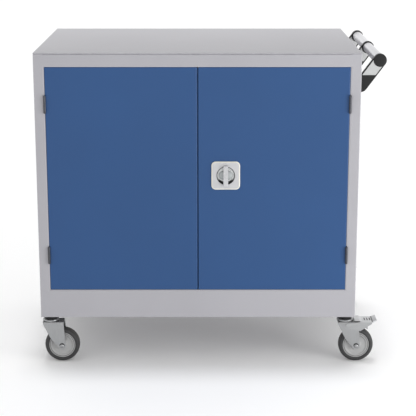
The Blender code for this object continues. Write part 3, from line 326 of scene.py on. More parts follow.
def edge_distance(finish, low, high):
    """Distance to a box's nearest edge: the second smallest of the distances to its faces, by axis."""
    middle = [(a + b) / 2 for a, b in zip(low, high)]
    half = [(b - a) / 2 for a, b in zip(low, high)]
    a, b, c = (half[i] - abs(value) for i, value in enumerate(finish.axes(middle)))
    return a.least(b).most(a.most(b).least(c))


def powder_coat(name, colour, low, high, fade=0.0):
    """Stoved powder coat: a fine orange-peel skin, a slow drift of tone and edges rubbed paler.

    `fade` is the share by which the coat is paler at the back than in the middle, and darker in front: a
    painted sheen.
    """
    coat = Finish(name, {"IOR": 1.45})
    drift = coat.noise(2.4, 3.0)
    peel = coat.noise(620.0, 2.0)
    rub = coat.noise(70.0, 3.0)
    edge = 1 - coat.step(edge_distance(coat, low, high) + rub * 0.0022, 0.0012, 0.0034)
    if fade:
        # painted sheen: the lid paler towards its back and darker towards its front
        depth = (coat.axes(low)[1] / (high[1] - low[1])).least(1.0).most(0.0)
        tone = coat.shades(depth, colour, 1 - fade, 1 + fade)
    else:
        tone = coat.shades(coat.step(drift, 0.3, 0.7), colour, 0.965, 1.03)
    fleck = coat.mix(coat.step(peel, 0.55, 0.8) * 0.10, tone, linear(colour, 1.22))
    shade = coat.mix(edge * 0.35, fleck, linear(colour, 1.5))
    roughness = 0.36 + drift * 0.10 + rub * 0.06 - edge * 0.06
    return coat.done(shade, roughness, peel, 0.00012, 0.5)


def zinc_plate(name, colour):
    """Bright zinc plating: crystal tones, drawn marks along the metal and a little white bloom."""
    zinc = Finish(name, {"Metallic": 0.9})
    crystal = zinc.cells(900.0)
    drawn = zinc.noise(240.0, 2.0, (1.0, 1.0, 0.12))
    bloom = zinc.step(zinc.noise(26.0, 4.0), 0.55, 0.8)
    tone = zinc.shades(crystal * 0.25 + drawn * 0.75, colour, 0.9, 1.1)
    shade = zinc.mix(bloom * 0.25, tone, linear(colour, 1.25))
    roughness = 0.30 + crystal * 0.06 + drawn * 0.08 + bloom * 0.12
    return zinc.done(shade, roughness, drawn, 0.00008, 0.4)


def lever_plate(name, colour, tread, centre, top, pitch, bend):
    """Plated foot lever: grey sides under a top painted paler as painted light, with three slots of
    painted shade before its bend.

    The slots are `pitch` apart, where a sine along the plate is positive, and painted shade lies in the
    bend.
    """
    zinc = Finish(name, {"Metallic": 0.45})
    x, y, z = zinc.axes((centre[0], centre[1], 0.0))
    drawn = zinc.noise(240.0, 2.0, (0.2, 1.0, 1.0))
    crystal = zinc.cells(900.0)
    # the lever's top, which takes the paler zinc as painted light
    plate = zinc.step(z, top - 0.0016, top - 0.0006)
    start = bend - 3 * pitch
    ridge = ((x - start) * (2 * math.pi / pitch)).sine()
    along = zinc.step(x, start - 0.0005, start) * (1 - zinc.step(x, bend - 0.003, bend - 0.002))
    # painted shade in the slots
    slots = zinc.step(ridge, 0.0, 0.3) * along * (1 - zinc.step(abs(y), 0.010, 0.011))
    # painted shade in the bend
    bend_shade = (1 - zinc.step(abs(x - bend), 0.0008, 0.0026)) * (0.5 + drawn * 0.6)
    dark = slots.most(bend_shade) * plate
    tone = zinc.shades(crystal * 0.25 + drawn * 0.75, colour, 0.9, 1.1)
    # painted light: the top in paler zinc, as if lit from above
    painted_top_light = zinc.shades(drawn, tread, 0.94, 1.05)
    shade = zinc.mix(dark * 0.9, zinc.mix(plate, tone, painted_top_light), linear(colour, 0.08))
    roughness = 0.30 + crystal * 0.06 + drawn * 0.10 + dark * 0.2
    return zinc.done(shade, roughness, drawn * 0.3 - dark, 0.0006, 0.6)


def rim_moulding(name, colour, centre, groove):
    """Moulded wheel rim: fine grain, cloudy tone and painted shade in its ring groove and along its lip at
    the tyre.
    """
    plastic = Finish(name, {"IOR": 1.5})
    x, _, z = plastic.axes(centre)
    radius = radius_of(x, z)
    skin = plastic.noise(700.0, 2.0)
    cloud = plastic.noise(34.0, 3.0)
    # painted shade in the ring groove
    line = 1 - plastic.step(abs(radius - groove), 0.0005, 0.0013)
    # painted shade along the lip next to the tyre
    lip = plastic.step(radius, groove + 0.0026, groove + 0.0032)
    tone = plastic.shades(cloud, colour, 0.92, 1.1)
    shade = plastic.mix((line * 0.8).most(lip * 0.5), tone, linear(colour, 0.22))
    return plastic.done(shade, 0.40 + skin * 0.10 + line * 0.15, skin, 0.0001, 0.45)


def washer_with_painted_shade(name, colour, shade_colour, centre):
    """Plated washer with painted shade on its part above the axle."""
    zinc = Finish(name, {"Metallic": 0.8})
    _, _, z = zinc.axes(centre)
    cloud = zinc.noise(420.0, 3.0)
    # painted shade: the washer darkened above the axle
    painted_shade = zinc.step(z + cloud * 0.003, 0.0002, 0.0038)
    tone = zinc.shades(cloud, colour, 0.85, 1.1)
    shade = zinc.mix(painted_shade * 0.95, tone, linear(shade_colour))
    return zinc.done(shade, 0.34 + cloud * 0.12 + painted_shade * 0.1)


def moulded_plastic(name, colour, gloss=0.45, ior=1.5):
    """Moulded plastic: a fine spark-eroded grain, cloudy tone and small pale scuffs."""
    plastic = Finish(name, {"IOR": ior})
    skin = plastic.noise(900.0, 2.0)
    cloud = plastic.noise(30.0, 3.0)
    scuff = plastic.step(plastic.noise(160.0, 4.0, (1.0, 0.35, 1.0)), 0.66, 0.78)
    tone = plastic.shades(cloud, colour, 0.9, 1.1)
    shade = plastic.mix(scuff * 0.14, tone, linear(colour, 1.9))
    return plastic.done(shade, gloss - 0.05 + skin * 0.10 + scuff * 0.12, skin, 0.0001, 0.45)


def bordered_plastic(name, colour, border, centre, half, corner, width):
    """Moulded plastic of a square plate, with its sloping border paler than its face.

    The border is told by the depth inside the plate's outline: from the corner's circle where a point
    lies past the middle of that circle both ways, and from the nearer side elsewhere.
    """
    plastic = Finish(name, {"IOR": 1.5})
    x, _, z = plastic.axes(centre)
    skin = plastic.noise(900.0, 2.0)
    cloud = plastic.noise(60.0, 3.0)
    across, up = abs(x) - (half - corner), abs(z) - (half - corner)
    outline = radius_of(across.most(0.0), up.most(0.0)) + across.most(up).least(0.0) - corner
    edge = plastic.step(outline + cloud * 0.0006, width * -1.15, width * -0.8)
    tone = plastic.shades(cloud, colour, 0.93, 1.07)
    shade = plastic.mix(edge * 0.85, tone, linear(border))
    return plastic.done(shade, 0.34 + skin * 0.10 + cloud * 0.06, skin, 0.0001, 0.45)


def tyre_rubber(name, colour, dust, centre, tread):
    """Grey rubber: matt, with a pale dusty band where the tread runs on the floor."""
    rubber = Finish(name, {})
    x, _, z = rubber.axes(centre)
    grain = rubber.noise(700.0, 3.0)
    cloud = rubber.noise(45.0, 3.0)
    worn = rubber.step(radius_of(x, z) + cloud * 0.0016, tread - 0.0012, tread + 0.0008)
    tone = rubber.shades(cloud, colour, 0.85, 1.15)
    shade = rubber.mix(worn * 0.45, tone, linear(dust))
    return rubber.done(shade, 0.58 + grain * 0.14 + worn * 0.12, grain, 0.00015, 0.5)


def dish_metal(name, colour, shade, centre, floor_radius, mouth_radius):
    """Spun metal of the lock's dish: ring marks, painted shade on its wall and a painted shadow at its
    foot.

    The painted shadow covers the part of the lower dish that lies outside a circle set a little above the
    axis.
    """
    metal = Finish(name, {"Metallic": 0.55})
    x, _, z = metal.axes(centre)
    radius = radius_of(x, z)
    ring = (radius * 5200.0).sine() * 0.5 + 0.5
    cloud = metal.noise(90.0, 3.0)
    # painted shade on the dish's wall
    wall = metal.step(radius, floor_radius - 0.0024, mouth_radius - 0.0018)
    lift, inside, outside = 0.004, 0.0212, 0.0238
    # painted shadow: a dark crescent at the bottom of the dish
    foot = metal.step(radius_of(x, z - lift), inside, outside) * metal.step(0.0 - z, 0.006, 0.016)
    tone = metal.shades(cloud * 0.6 + ring * 0.4, colour, 0.85, 1.12)
    mixed = metal.mix((wall * 0.72).most(foot * 0.98), tone, linear(shade))
    roughness = 0.32 + ring * 0.06 + cloud * 0.10 + foot * 0.2
    return metal.done(mixed, roughness, ring, 0.00004, 0.4)


def drawn_aluminium(name, colour, along):
    """Drawn aluminium: fine lines along one axis, cloudy handling marks and a soft sheen."""
    metal = Finish(name, {"Metallic": 0.95})
    stretch = [1.0, 1.0, 1.0]
    stretch["XYZ".index(along)] = 0.02
    line = metal.noise(1500.0, 2.0, stretch)
    touch = metal.noise(14.0, 3.0)
    tone = metal.shades(line * 0.6 + touch * 0.4, colour, 0.88, 1.1)
    return metal.done(tone, 0.26 + line * 0.10 + touch * 0.10, line, 0.00005, 0.4)


# Sizes and colours


def colour_of(label, words, shown):
    """A colour that a user may change, from its display values of 0 to 255."""
    return FloatVectorProperty(
        name=label, description=words, subtype="COLOR_GAMMA", size=3, min=0.0, max=1.0,
        default=[value / 255 for value in shown],
    )


def length_of(label, words, metres):
    """A length that a user may change."""
    return FloatProperty(name=label, description=words, default=metres, unit="LENGTH", precision=4)


def amount_of(label, words, value):
    """A plain number that a user may change."""
    return FloatProperty(name=label, description=words, default=value)


def angle_of(label, words, degrees):
    """An angle that a user may change."""
    return FloatProperty(name=label, description=words, default=math.radians(degrees), subtype="ANGLE")


def place_of(label, words, place):
    """A point that a user may move."""
    return FloatVectorProperty(
        name=label, description=words, subtype="TRANSLATION", size=3, default=place, precision=4,
    )


class CupboardFinishes(bpy.types.PropertyGroup):
    """Colours of the coats, metals and plastics."""

    grey_coat: colour_of("Grey coat", "Powder coat of the cabinet", (161, 160, 165))
    blue_coat: colour_of("Blue coat", "Powder coat of the doors", (27, 69, 118))
    zinc: colour_of("Zinc", "Plated forks, clips and rods", (159, 160, 161))
    # painted light on the brake levers' tops; the key plug takes it as its own colour
    lever_zinc: colour_of("Lever zinc", "Bright plate of the brake levers", (194, 195, 196))
    hinge_steel: colour_of("Hinge steel", "Darkened steel of the hinges", (78, 79, 84))
    aluminium: colour_of("Aluminium", "Handle tube", (205, 205, 208))
    inlay: colour_of("Inlay", "Light metal in the handle's arms", (190, 191, 191))
    # also the colour of the painted shade on the axle washers and in the lock's dish
    black_plastic: colour_of("Black plastic", "Handle arms, caps and castor necks", (24, 24, 25))
    rim_plastic: colour_of("Rim plastic", "Wheel rims", (156, 156, 156))
    tyre_rubber: colour_of("Tyre rubber", "Wheel tyres", (46, 46, 47))
    floor_dust: colour_of("Floor dust", "Dust on the tyres' tread", (82, 80, 78))
    lock_plastic: colour_of("Lock plastic", "Lock plate and grip", (184, 184, 186))
    lock_border: colour_of("Lock border", "Sloping border of the lock plate", (216, 213, 200))
    hub_plastic: colour_of("Hub plastic", "Oval hub behind the lock's grip", (160, 164, 165))
    dish_metal: colour_of("Dish metal", "Lining of the dish around the grip", (204, 206, 206))
    # the lid's painted sheen, paler at the back and darker in front
    lid_painted_sheen: FloatProperty(name="Lid fade", description="How much paler the lid gets from front to back",
                            subtype="FACTOR", min=0.0, max=1.0, default=0.12)


class CupboardTrim(bpy.types.PropertyGroup):
    """Sizes of the edge strips around the doors and of the sealer inside the back."""

    width: length_of("Width", "How far an edge strip reaches into its slit", 0.0009)
    root: length_of("Root", "How far a strip is let into its panel", 0.0006)
    depth: length_of("Depth", "Depth of the strips", 0.006)
    set_back: length_of("Set back", "Front of the cabinet to the strips' front", 0.0006)
    lap: length_of("Lap", "How far the upright strips run on behind the rail and the plinth", 0.0025)
    hinge_gap: length_of("Hinge gap", "Clear length above and below a hinge", 0.0015)
    bead: length_of("Bead", "Size of the sealer beads behind the back panel's joints", 0.0025)
    bite: length_of("Bite", "How far a bead reaches past its joint", 0.0007)
    middle_width: length_of("Middle width", "How far the left door's strip reaches into its slit", 0.0021)
    middle_set_back: length_of("Middle set back", "Front of the doors to that strip's front", 0.0035)
    middle_gap: length_of("Middle gap", "Clear length at that strip's ends", 0.002)


class CupboardHinge(bpy.types.PropertyGroup):
    """Sizes of the pin hinges."""

    pin_radius: length_of("Pin radius", "Pin of the lower hinge half", 0.0018)
    pin_fit: length_of("Pin fit", "Play of the pin in its bore", 0.00025)
    knuckle_gap: length_of("Knuckle gap", "Gap between the two knuckles", 0.00035)
    knuckle_ease: length_of("Knuckle ease", "Round of the knuckles' outer ends", 0.0014)
    leaf_sheet: length_of("Leaf sheet", "Thickness of the leaves", 0.0008)
    leaf_corner: length_of("Leaf corner", "Corner radius of the leaves", 0.0015)
    leaf_gap: length_of("Leaf gap", "End of a knuckle to the end of its leaf", 0.0002)


class CupboardLock(bpy.types.PropertyGroup):
    """Sizes of the rotary lock on the right door."""

    plate_sheet: length_of("Plate thickness", "Thickness of the lock plate", 0.004)
    plate_corner: length_of("Plate corner", "Corner radius of the lock plate", 0.012)
    plate_bevel: length_of("Plate bevel", "Width of the sloping border of the plate", 0.0028)
    dish_radius: length_of("Dish radius", "Mouth of the dish around the grip", 0.026)
    dish_floor: length_of("Dish floor", "Radius of the dish's flat floor", 0.0245)
    dish_depth: length_of("Dish depth", "Plate's face to the floor of the dish", 0.0125)
    cup_radius: length_of("Cup radius", "Outside of the cup behind the plate", 0.028)
    hole_radius: length_of("Spindle hole", "Radius of the hole in the dish's floor", 0.0038)
    hub_width: length_of("Hub width", "Width of the oval hub that carries the grip", 0.040)
    hub_height: length_of("Hub height", "Height of the oval hub", 0.0245)
    hub_rise: length_of("Hub rise", "Plate's face to the hub's crown in front of it", 0.001)
    hub_gap: length_of("Hub gap", "Back of the hub to the dish's lining", 0.0003)
    lining: length_of("Lining", "Thickness of the dish's metal lining", 0.0006)
    lining_depth: length_of("Lining depth", "Plate's face to the lining's floor", 0.005)
    bar_width: length_of("Grip width", "Width of the grip's bar", 0.0133)
    bar_length: length_of("Grip length", "Length of the grip's bar", 0.058)
    bar_corner: length_of("Grip corner", "Corner radius of the grip's bar", 0.003)
    bar_gap: length_of("Grip gap", "Lock plate to the back of the bar", 0.0006)
    bar_web: length_of("Grip web", "Bar that is left behind the key's seat", 0.0006)
    key_fit: length_of("Key fit", "Play of the key plug in its seat", 0.0002)
    key_sink: length_of("Key sink", "Front of the bar to the key plug's face", 0.0002)
    keyway_width: length_of("Keyway width", "Width of the key's slot", 0.0012)
    keyway_length: length_of("Keyway length", "Length of the key's slot", 0.0062)
    keyway_depth: length_of("Keyway depth", "Depth of the key's slot", 0.0008)


class CupboardHandle(bpy.types.PropertyGroup):
    """Sizes of the push handle."""

    tube_wall: length_of("Tube wall", "Wall of the handle tube", 0.002)
    cap_dome: length_of("Cap dome", "Rise of the end caps at their middle", 0.0012)
    cap_edge: length_of("Cap edge", "Round of the end caps' edge", 0.0016)
    cap_flange: length_of("Cap flange", "Thickness of the end caps outside the tube", 0.003)
    plug_fit: length_of("Plug fit", "Play of the end caps' plugs in the tube", 0.0003)
    collar_gap: length_of("Collar gap", "Collar of an arm to the tube and to the caps' rim", 0.00003)


class CupboardCastor(bpy.types.PropertyGroup):
    """Sizes of the wheels, axles, heads and brake levers."""

    tyre_round: length_of("Tyre round", "Round of the tyre's shoulders and of its foot", 0.0022)
    tyre_wall: length_of("Tyre wall", "Tread to the start of the tyre's flat side", 0.0068)
    rim_inset: length_of("Rim inset", "Side of the tyre to the rim's lip", 0.002)
    web_depth: length_of("Web depth", "Rim's lip to its dished web", 0.003)
    groove_radius: length_of("Groove radius", "Ring line pressed into the rim", 0.0345)
    groove_width: length_of("Groove width", "Width of the ring line", 0.0014)
    groove_depth: length_of("Groove depth", "Depth of the ring line", 0.0009)
    hub_radius: length_of("Hub radius", "Boss in the middle of the rim", 0.012)
    bore_radius: length_of("Bore radius", "Hole for the axle", 0.0043)
    axle_radius: length_of("Axle radius", "Shaft of the axle", 0.004)
    head_depth: length_of("Head depth", "Height of the axle's domed heads", 0.0045)
    head_radius: length_of("Head radius", "Domed head of the axle", 0.0056)
    washer_radius: length_of("Washer radius", "Washer behind the axle's head", 0.0084)
    washer_depth: length_of("Washer depth", "Thickness of that washer", 0.0009)
    neck_radius: length_of("Neck radius", "Black cover over the swivel", 0.018)
    flange_radius: length_of("Flange radius", "Rim of the cover under the cabinet", 0.0195)
    race_height: length_of("Race height", "Top of the fork to the top of the bearing race", 0.007)
    lever_rise: length_of("Lever rise", "Top of the fork to the top of the brake lever", 0.002)
    tip_reach: length_of("Tip reach", "Length of the brake lever's upturned tip", 0.0135)
    slot_pitch: length_of("Slot pitch", "Spacing of the dark slots in the brake lever's plate", 0.0075)
    plate_sheet: length_of("Plate sheet", "Thickness of the pressed foot plate on a brake lever", 0.001)
    plate_step: length_of("Plate step", "Top of the fork to the foot plate above it", 0.0044)


class CupboardStage(bpy.types.PropertyGroup):
    """Camera, light and floor."""

    camera_place: place_of("Camera", "Where the camera stands", (-0.0056, -3.84285, 1.3584))
    camera_tilt: angle_of("Tilt", "How far the camera looks down", 14.145)
    lens: amount_of("Lens", "Focal length in millimetres", 112.79)
    view_end: length_of("View end", "How far the camera sees", 200.0)
    horizon: amount_of("Horizon", "Strength of the white light at floor level", 1.5)
    zenith: amount_of("Zenith", "Strength of the white light overhead", 0.4)
    key_power: amount_of("Key light", "Soft light low on the right, in watts", 34.0)
    key_width: length_of("Key width", "Side of the square key light", 1.2)
    key_place: place_of("Key place", "Where the key light stands", (2.2, -1.6, 0.35))
    key_aim: place_of("Key aim", "The point that the key light faces", (0.0, 0.0, 0.35))
    top_strength: amount_of("Top light", "Even soft light from overhead", 0.95)
    top_height: length_of("Top height", "Where the top light's lamp hangs", 4.0)
    top_lean: angle_of("Top lean", "How far the top light leans from behind", 5.5)
    top_spread: angle_of("Top spread", "Angle that the top light fills", 11.0)
    floor_tone: amount_of("Floor tone", "How pale the floor is", 0.965)
    floor_reach: length_of("Floor reach", "Middle of the floor to its edges", 60.0)
    floor_drop: length_of("Floor drop", "How far the floor lies under the wheels", 0.0002)


# Pieces


def dressed(piece, material, body, slot, *nodes):
    """A finished piece: its material, the body it rides on, its slot, which is not used, and the solids it
    stands for.
    """
    piece.data.materials.append(material)
    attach(piece, body)
    if nodes:
        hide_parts(*nodes)


def coat_node(node, material):
    """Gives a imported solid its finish."""
    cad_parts[node].material_slots[0].material = material


def middle_of(node):
    """The middle of a node's box."""
    low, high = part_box(node)
    return np.array((low + high) / 2)


def half_of(node):
    """Half the size of a node's box along x, y and z."""
    low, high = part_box(node)
    return np.subtract(high, low) / 2


def limit_of(node, way):
    """A node's limit along x, on its +x side where `way` is above 0 and on its -x side elsewhere."""
    low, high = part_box(node)
    return high.x if way > 0 else low.x


class CUPBOARD_OT_cabinet(bpy.types.Operator):
    """Coat the cabinet's panels, each with its own rubbed edges, and fill the joints of its sheets"""

    bl_idname = "cupboard.cabinet"
    bl_label = "Cabinet"

    def execute(self, context):
        finishes, trim = context.scene.cupboard_finishes, context.scene.cupboard_trim
        wide_low, wide_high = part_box("top_panel")
        for node in GREY_PANELS:
            low, high = (np.array(corner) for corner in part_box(node))
            if node in ("top_rail", "base_tray"):
                low[0], high[0] = wide_low.x, wide_high.x
            # the lid takes a painted sheen from front to back
            fade = finishes.lid_painted_sheen if node == "top_panel" else 0.0
            coat_node(node, powder_coat("grey_coat_" + node, finishes.grey_coat, low, high, fade))
        self.rail, self.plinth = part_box("top_rail"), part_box("base_tray")
        front_foot = (wide_low.x, wide_low.y, self.plinth[0].z)
        self.coat = powder_coat("frame_coat", finishes.grey_coat, front_foot, wide_high)
        self.fill_joints()
        self.edge_doorway(trim)
        self.seal_back(trim)
        return {"FINISHED"}

    def fill(self, name, *limits):
        """A strip of the cabinet, in the front frame's coat."""
        dressed(strip(name, *limits), self.coat, "carcass", "grey_coat")

    def fill_joints(self):
        """Welds, ground flush, where each stile meets the top rail and the plinth."""
        # A weld's rise and root, its reach over stile and rail, and its distances from folds and ends
        rise, root = 0.00004, 0.0008
        on_stile, on_rail, fold, crest = 0.0029, 0.0011, 0.0016, 0.0002
        below, above, half, foot = 0.0036, 0.0012, 0.0009, 0.002
        rail, plinth = self.rail, self.plinth
        for side, inward in SIDES.items():
            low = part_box("side_" + side)[0]
            inner, outer = limit_of("side_" + side, inward), limit_of("base_tray", -inward)
            seam = (inner - inward * on_stile, inner + inward * on_rail)
            joints = {
                "top": (seam, (rail[0].z + fold, rail[1].z - crest)),
                "bottom": ((outer, inner - inward * fold), (plinth[1].z - below, plinth[1].z + above)),
                "foot": ((outer - inward * half, outer + inward * half), (low.z + foot, plinth[1].z)),
            }
            for joint, limits in joints.items():
                self.fill(f"weld_{joint}_{side}", *limits, (low.y - rise, low.y + root))

    def edge_doorway(self, trim):
        """Thin edge strips on the stiles, rail and plinth, which make the doors' slits look shallow."""
        rail, plinth = self.rail, self.plinth
        front = rail[0].y + trim.set_back
        depth = (front, front + trim.depth)
        for side, inward in SIDES.items():
            jamb = limit_of("side_" + side, inward)
            across = (jamb - inward * trim.root, jamb + inward * trim.width)
            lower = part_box("hinge_frame_bottom_" + side)[0].z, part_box("hinge_door_bottom_" + side)[1].z
            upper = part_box("hinge_frame_top_" + side)[0].z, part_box("hinge_door_top_" + side)[1].z
            runs = {
                "low": (plinth[1].z - trim.lap, lower[0] - trim.hinge_gap),
                "middle": (lower[1] + trim.hinge_gap, upper[0] - trim.hinge_gap),
                "high": (upper[1] + trim.hinge_gap, rail[0].z + trim.lap),
            }
            for run, upright in runs.items():
                self.fill(f"edge_{run}_{side}", across, upright, depth)
        for end, sill, inward in (("top", rail[0].z, -1), ("bottom", plinth[1].z, 1)):
            upright = (sill - inward * trim.root, sill + inward * trim.width)
            self.fill("edge_" + end, (rail[0].x, rail[1].x), upright, depth)

    def seal_back(self, trim):
        """Beads of sealer inside the back panel's joints with the floor, the lid and the two sides."""
        low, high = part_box("back_panel")
        inside = (low.x + trim.root, high.x - trim.root)
        behind = (high.y - SHEET - trim.bead, high.y - SHEET)
        flange = (low.y - trim.bead, low.y + trim.bite)
        self.fill("bead_floor", inside, (low.z - trim.bite, low.z + trim.bead), behind)
        self.fill("bead_lid", inside, (high.z - trim.bead, high.z + trim.bite), behind)
        self.fill("bead_left", (low.x - trim.bite, low.x + trim.root), (low.z, high.z), flange)
        self.fill("bead_right", (high.x - trim.root, high.x + trim.bite), (low.z, high.z), flange)


class CUPBOARD_OT_doors(bpy.types.Operator):
    """Coat the two doors and edge the left one with a strip that narrows the middle slit"""

    bl_idname = "cupboard.doors"
    bl_label = "Doors"

    def execute(self, context):
        colour, trim = context.scene.cupboard_finishes.blue_coat, context.scene.cupboard_trim
        for node in ("door_left", "door_right"):
            coat_node(node, powder_coat("blue_coat_" + node, colour, *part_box(node)))
        low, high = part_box("door_left")
        across = (high.x - trim.root, high.x + trim.middle_width)
        upright = (low.z + trim.middle_gap, high.z - trim.middle_gap)
        front = low.y + trim.middle_set_back
        piece = strip("edge_middle", across, upright, (front, front + trim.depth))
        dressed(piece, powder_coat("blue_coat_edge", colour, low, high), "left_door", "blue_coat")
        return {"FINISHED"}


class CUPBOARD_OT_hinges(bpy.types.Operator):
    """Make the pin hinges: a lower knuckle with its pin on the frame and an upper one on the door"""

    bl_idname = "cupboard.hinges"
    bl_label = "Hinges"

    def execute(self, context):
        size = self.size = context.scene.cupboard_hinge
        self.steel = zinc_plate("hinge_steel", context.scene.cupboard_finishes.hinge_steel)
        pin, bore = size.pin_radius, size.pin_radius + size.pin_fit
        for place in [f"{end}_{side}" for end in ("top", "bottom") for side in SIDES]:
            door, stile = "hinge_door_" + place, "hinge_frame_" + place
            low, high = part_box(stile)
            foot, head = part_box(door)[0].z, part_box(door)[1].z
            split, ceiling = foot - size.knuckle_gap, high.z + size.pin_fit
            radius = half_of(stile)[0]
            axis = (middle_of(stile)[0], low.y + radius, 0.0)
            body = "left_door" if place.endswith("left") else "right_door"
            self.half(stile, (radius, pin), (low.z, split, high.z), axis, high.y, "carcass")
            self.half(door, (radius, bore), (head, foot, ceiling), axis, high.y, body)
        return {"FINISHED"}

    def half(self, node, radii, heights, axis, leaf_back, body):
        """One hinge half: the turned knuckle with its pin or bore, and a leaf that runs back from it."""
        size, place = self.size, node.removeprefix("hinge_")
        outer, inner = radii
        end, split, tip = heights
        knuckle = [(0, end), (outer, end), (outer, split), (inner, split), (inner, tip), (0, tip)]
        ease = [0, size.knuckle_ease, 0.0004, 0.0002, 0.0006, 0]
        piece = body_of("knuckle_" + place, knuckle, ease, axis, "Z", 10)
        dressed(piece, self.steel, body, "zinc", node)
        start = axis[1] + size.pin_radius + 2 * size.pin_fit
        half_u, half_v = (leaf_back - start) / 2, abs(split - end) / 2 - size.leaf_gap
        centre = (axis[0], start + half_u, (end + split) / 2)
        thick = size.leaf_sheet / 2
        rows = slab((half_u, half_v, size.leaf_corner), -thick, thick)
        piece = body_of("leaf_" + place, rows, [0, 0.0002, 0.0002, 0], centre, "X", 5)
        dressed(piece, self.steel, body, "zinc", node)


class CUPBOARD_OT_fittings(bpy.types.Operator):
    """Plate the clips, rods and other small fittings"""

    bl_idname = "cupboard.fittings"
    bl_label = "Fittings"

    def execute(self, context):
        finishes = context.scene.cupboard_finishes
        zinc = zinc_plate("zinc_fittings", finishes.zinc)
        clips = ["shelf_clip_" + place for place in PLACES]
        for node in clips + ["lock_rod_top", "lock_rod_bottom", "lock_spindle", "lock_case"]:
            coat_node(node, zinc)
        coat_node("door_magnet", moulded_plastic("magnet_plastic", finishes.black_plastic))
        return {"FINISHED"}


class CUPBOARD_OT_lock(bpy.types.Operator):
    """Make the dished lock plate, the grip on its hub and the key cylinder"""

    bl_idname = "cupboard.lock"
    bl_label = "Lock"

    def execute(self, context):
        finishes, self.size = context.scene.cupboard_finishes, context.scene.cupboard_lock
        x, _, z = middle_of("lock_plate")
        self.centre = (x, 0.0, z)
        self.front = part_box("lock_plate")[0].y
        self.dish = self.front + self.size.lining_depth
        self.bar_back = self.front - self.size.bar_gap
        self.plate(finishes)
        self.lining(finishes)
        self.hub(finishes)
        self.bar(finishes)
        self.key(finishes)
        return {"FINISHED"}

    def plate(self, finishes):
        """Plate and cup: a rounded square with a sloping border, open at the dish, closed behind it."""
        size, front = self.size, self.front
        half, bevel, corner = half_of("lock_plate")[0], size.plate_bevel, size.plate_corner
        back, cup_back = front + size.plate_sheet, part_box("lock_plate")[1].y
        floor = front + size.dish_depth + size.lining
        mouth, cup, hole = (size.dish_radius,) * 3, (size.cup_radius,) * 3, (size.hole_radius,) * 3
        rows = [
            (*mouth, front),
            (half - bevel, half - bevel, corner - bevel * 0.6, front),
            (half, half, corner, front + bevel * 0.55),
            (half, half, corner, back),
            (*cup, back), (*cup, cup_back), (*hole, cup_back), (*hole, floor), (*mouth, floor),
        ]
        ease = [0.0004, 0.0008, 0.0004, 0.0003, 0.0003, 0.001, 0.0002, 0.0002, 0.0002]
        piece = body_of("lock_plate_face", rows, ease, self.centre, "Y", 20, closed=True)
        shown, border = finishes.lock_plastic, finishes.lock_border
        plastic = bordered_plastic("plate_plastic", shown, border, self.centre, half, corner, bevel)
        dressed(piece, plastic, "right_door", "lock_plastic", "lock_plate")

    def lining(self, finishes):
        """Metal lining of the dish: a flat floor with a hole, and a wall up to the plate's face."""
        size, front, dish = self.size, self.front, self.dish
        hole, inner, edge = size.hole_radius, size.dish_floor, size.dish_radius - HAIR_GAP
        back = front + size.dish_depth + size.lining * 0.9
        wall = [(inner, dish), (edge - size.lining, front), (edge, front), (edge, back)]
        profile = [(hole, dish), *wall, (hole, back)]
        ease = [0.0002, 0.003, 0.0002, 0.0002, 0.0002, 0.0002]
        piece = body_of("lock_dish", profile, ease, self.centre, "Y", 20, closed=True)
        # black gives the dish its painted shade and shadow
        shown, shade = finishes.dish_metal, finishes.black_plastic
        metal = dish_metal("dish_metal", shown, shade, self.centre, inner, edge)
        dressed(piece, metal, "right_door", "zinc", "lock_plate")

    def hub(self, finishes):
        """Oval hub: a crown that falls away in two eased steps to a low rim, and a shaft behind it."""
        size = self.size
        crown, back = self.front - size.hub_rise, self.dish - size.hub_gap
        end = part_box("lock_grip")[1].y
        wide, tall = size.hub_width / 2, size.hub_height / 2
        dip, shoulder, rim, play = 0.0004, 0.0026, 0.0009, 0.0004
        oval, shaft = (wide, tall, tall * 0.98), (size.hole_radius - play,) * 3
        rows = [
            (0, 0, 0, crown),
            (wide * 0.45, tall * 0.55, tall * 0.5, crown + dip),
            (wide * 0.86, tall * 0.88, tall * 0.85, crown + shoulder),
            (*oval, back - rim),
            (*oval, back), (*shaft, back), (*shaft, end), (0, 0, 0, end),
        ]
        ease = [0, 0.004, 0.004, 0.0006, 0.0002, 0.0002, 0.0002, 0]
        piece = body_of("lock_hub", rows, ease, self.centre, "Y", 20, 6)
        plastic = moulded_plastic("hub_plastic", finishes.hub_plastic, gloss=0.36)
        dressed(piece, plastic, "grip", "lock_plastic", "lock_grip")

    def bar(self, finishes):
        """The grip's bar: an eased block with a round seat for the key plug in its front."""
        size, back = self.size, self.bar_back
        floor, tip = back - size.bar_web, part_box("lock_grip")[0].y
        seat = (half_of("key_cylinder")[0] + size.key_fit,) * 3
        outline = (size.bar_width / 2, size.bar_length / 2, size.bar_corner)
        rows = seated(seat, outline, floor, tip, back)
        piece = body_of("lock_bar", rows, [0, 0, 0.0003, 0.0016, 0.0006, 0], self.centre, "Y", 14)
        plastic = moulded_plastic("lock_plastic", finishes.lock_plastic, gloss=0.38)
        dressed(piece, plastic, "grip", "lock_plastic", "lock_grip")

    def key(self, finishes):
        """Key plug: a round plug with the key's slot in its face."""
        size = self.size
        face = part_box("lock_grip")[0].y + size.key_sink
        floor, back = face + size.keyway_depth, self.bar_back - size.bar_web - size.key_fit
        plug = (half_of("key_cylinder")[0],) * 3
        slot = (size.keyway_width / 2, size.keyway_length / 2, size.keyway_width * 0.4)
        rows = seated(slot, plug, floor, face, back)
        piece = body_of("key_plug", rows, [0, 0, 0.0001, 0.0004, 0.0002, 0], self.centre, "Y", 14)
        dressed(piece, zinc_plate("key_zinc", finishes.lever_zinc), "key", "zinc", "key_cylinder")


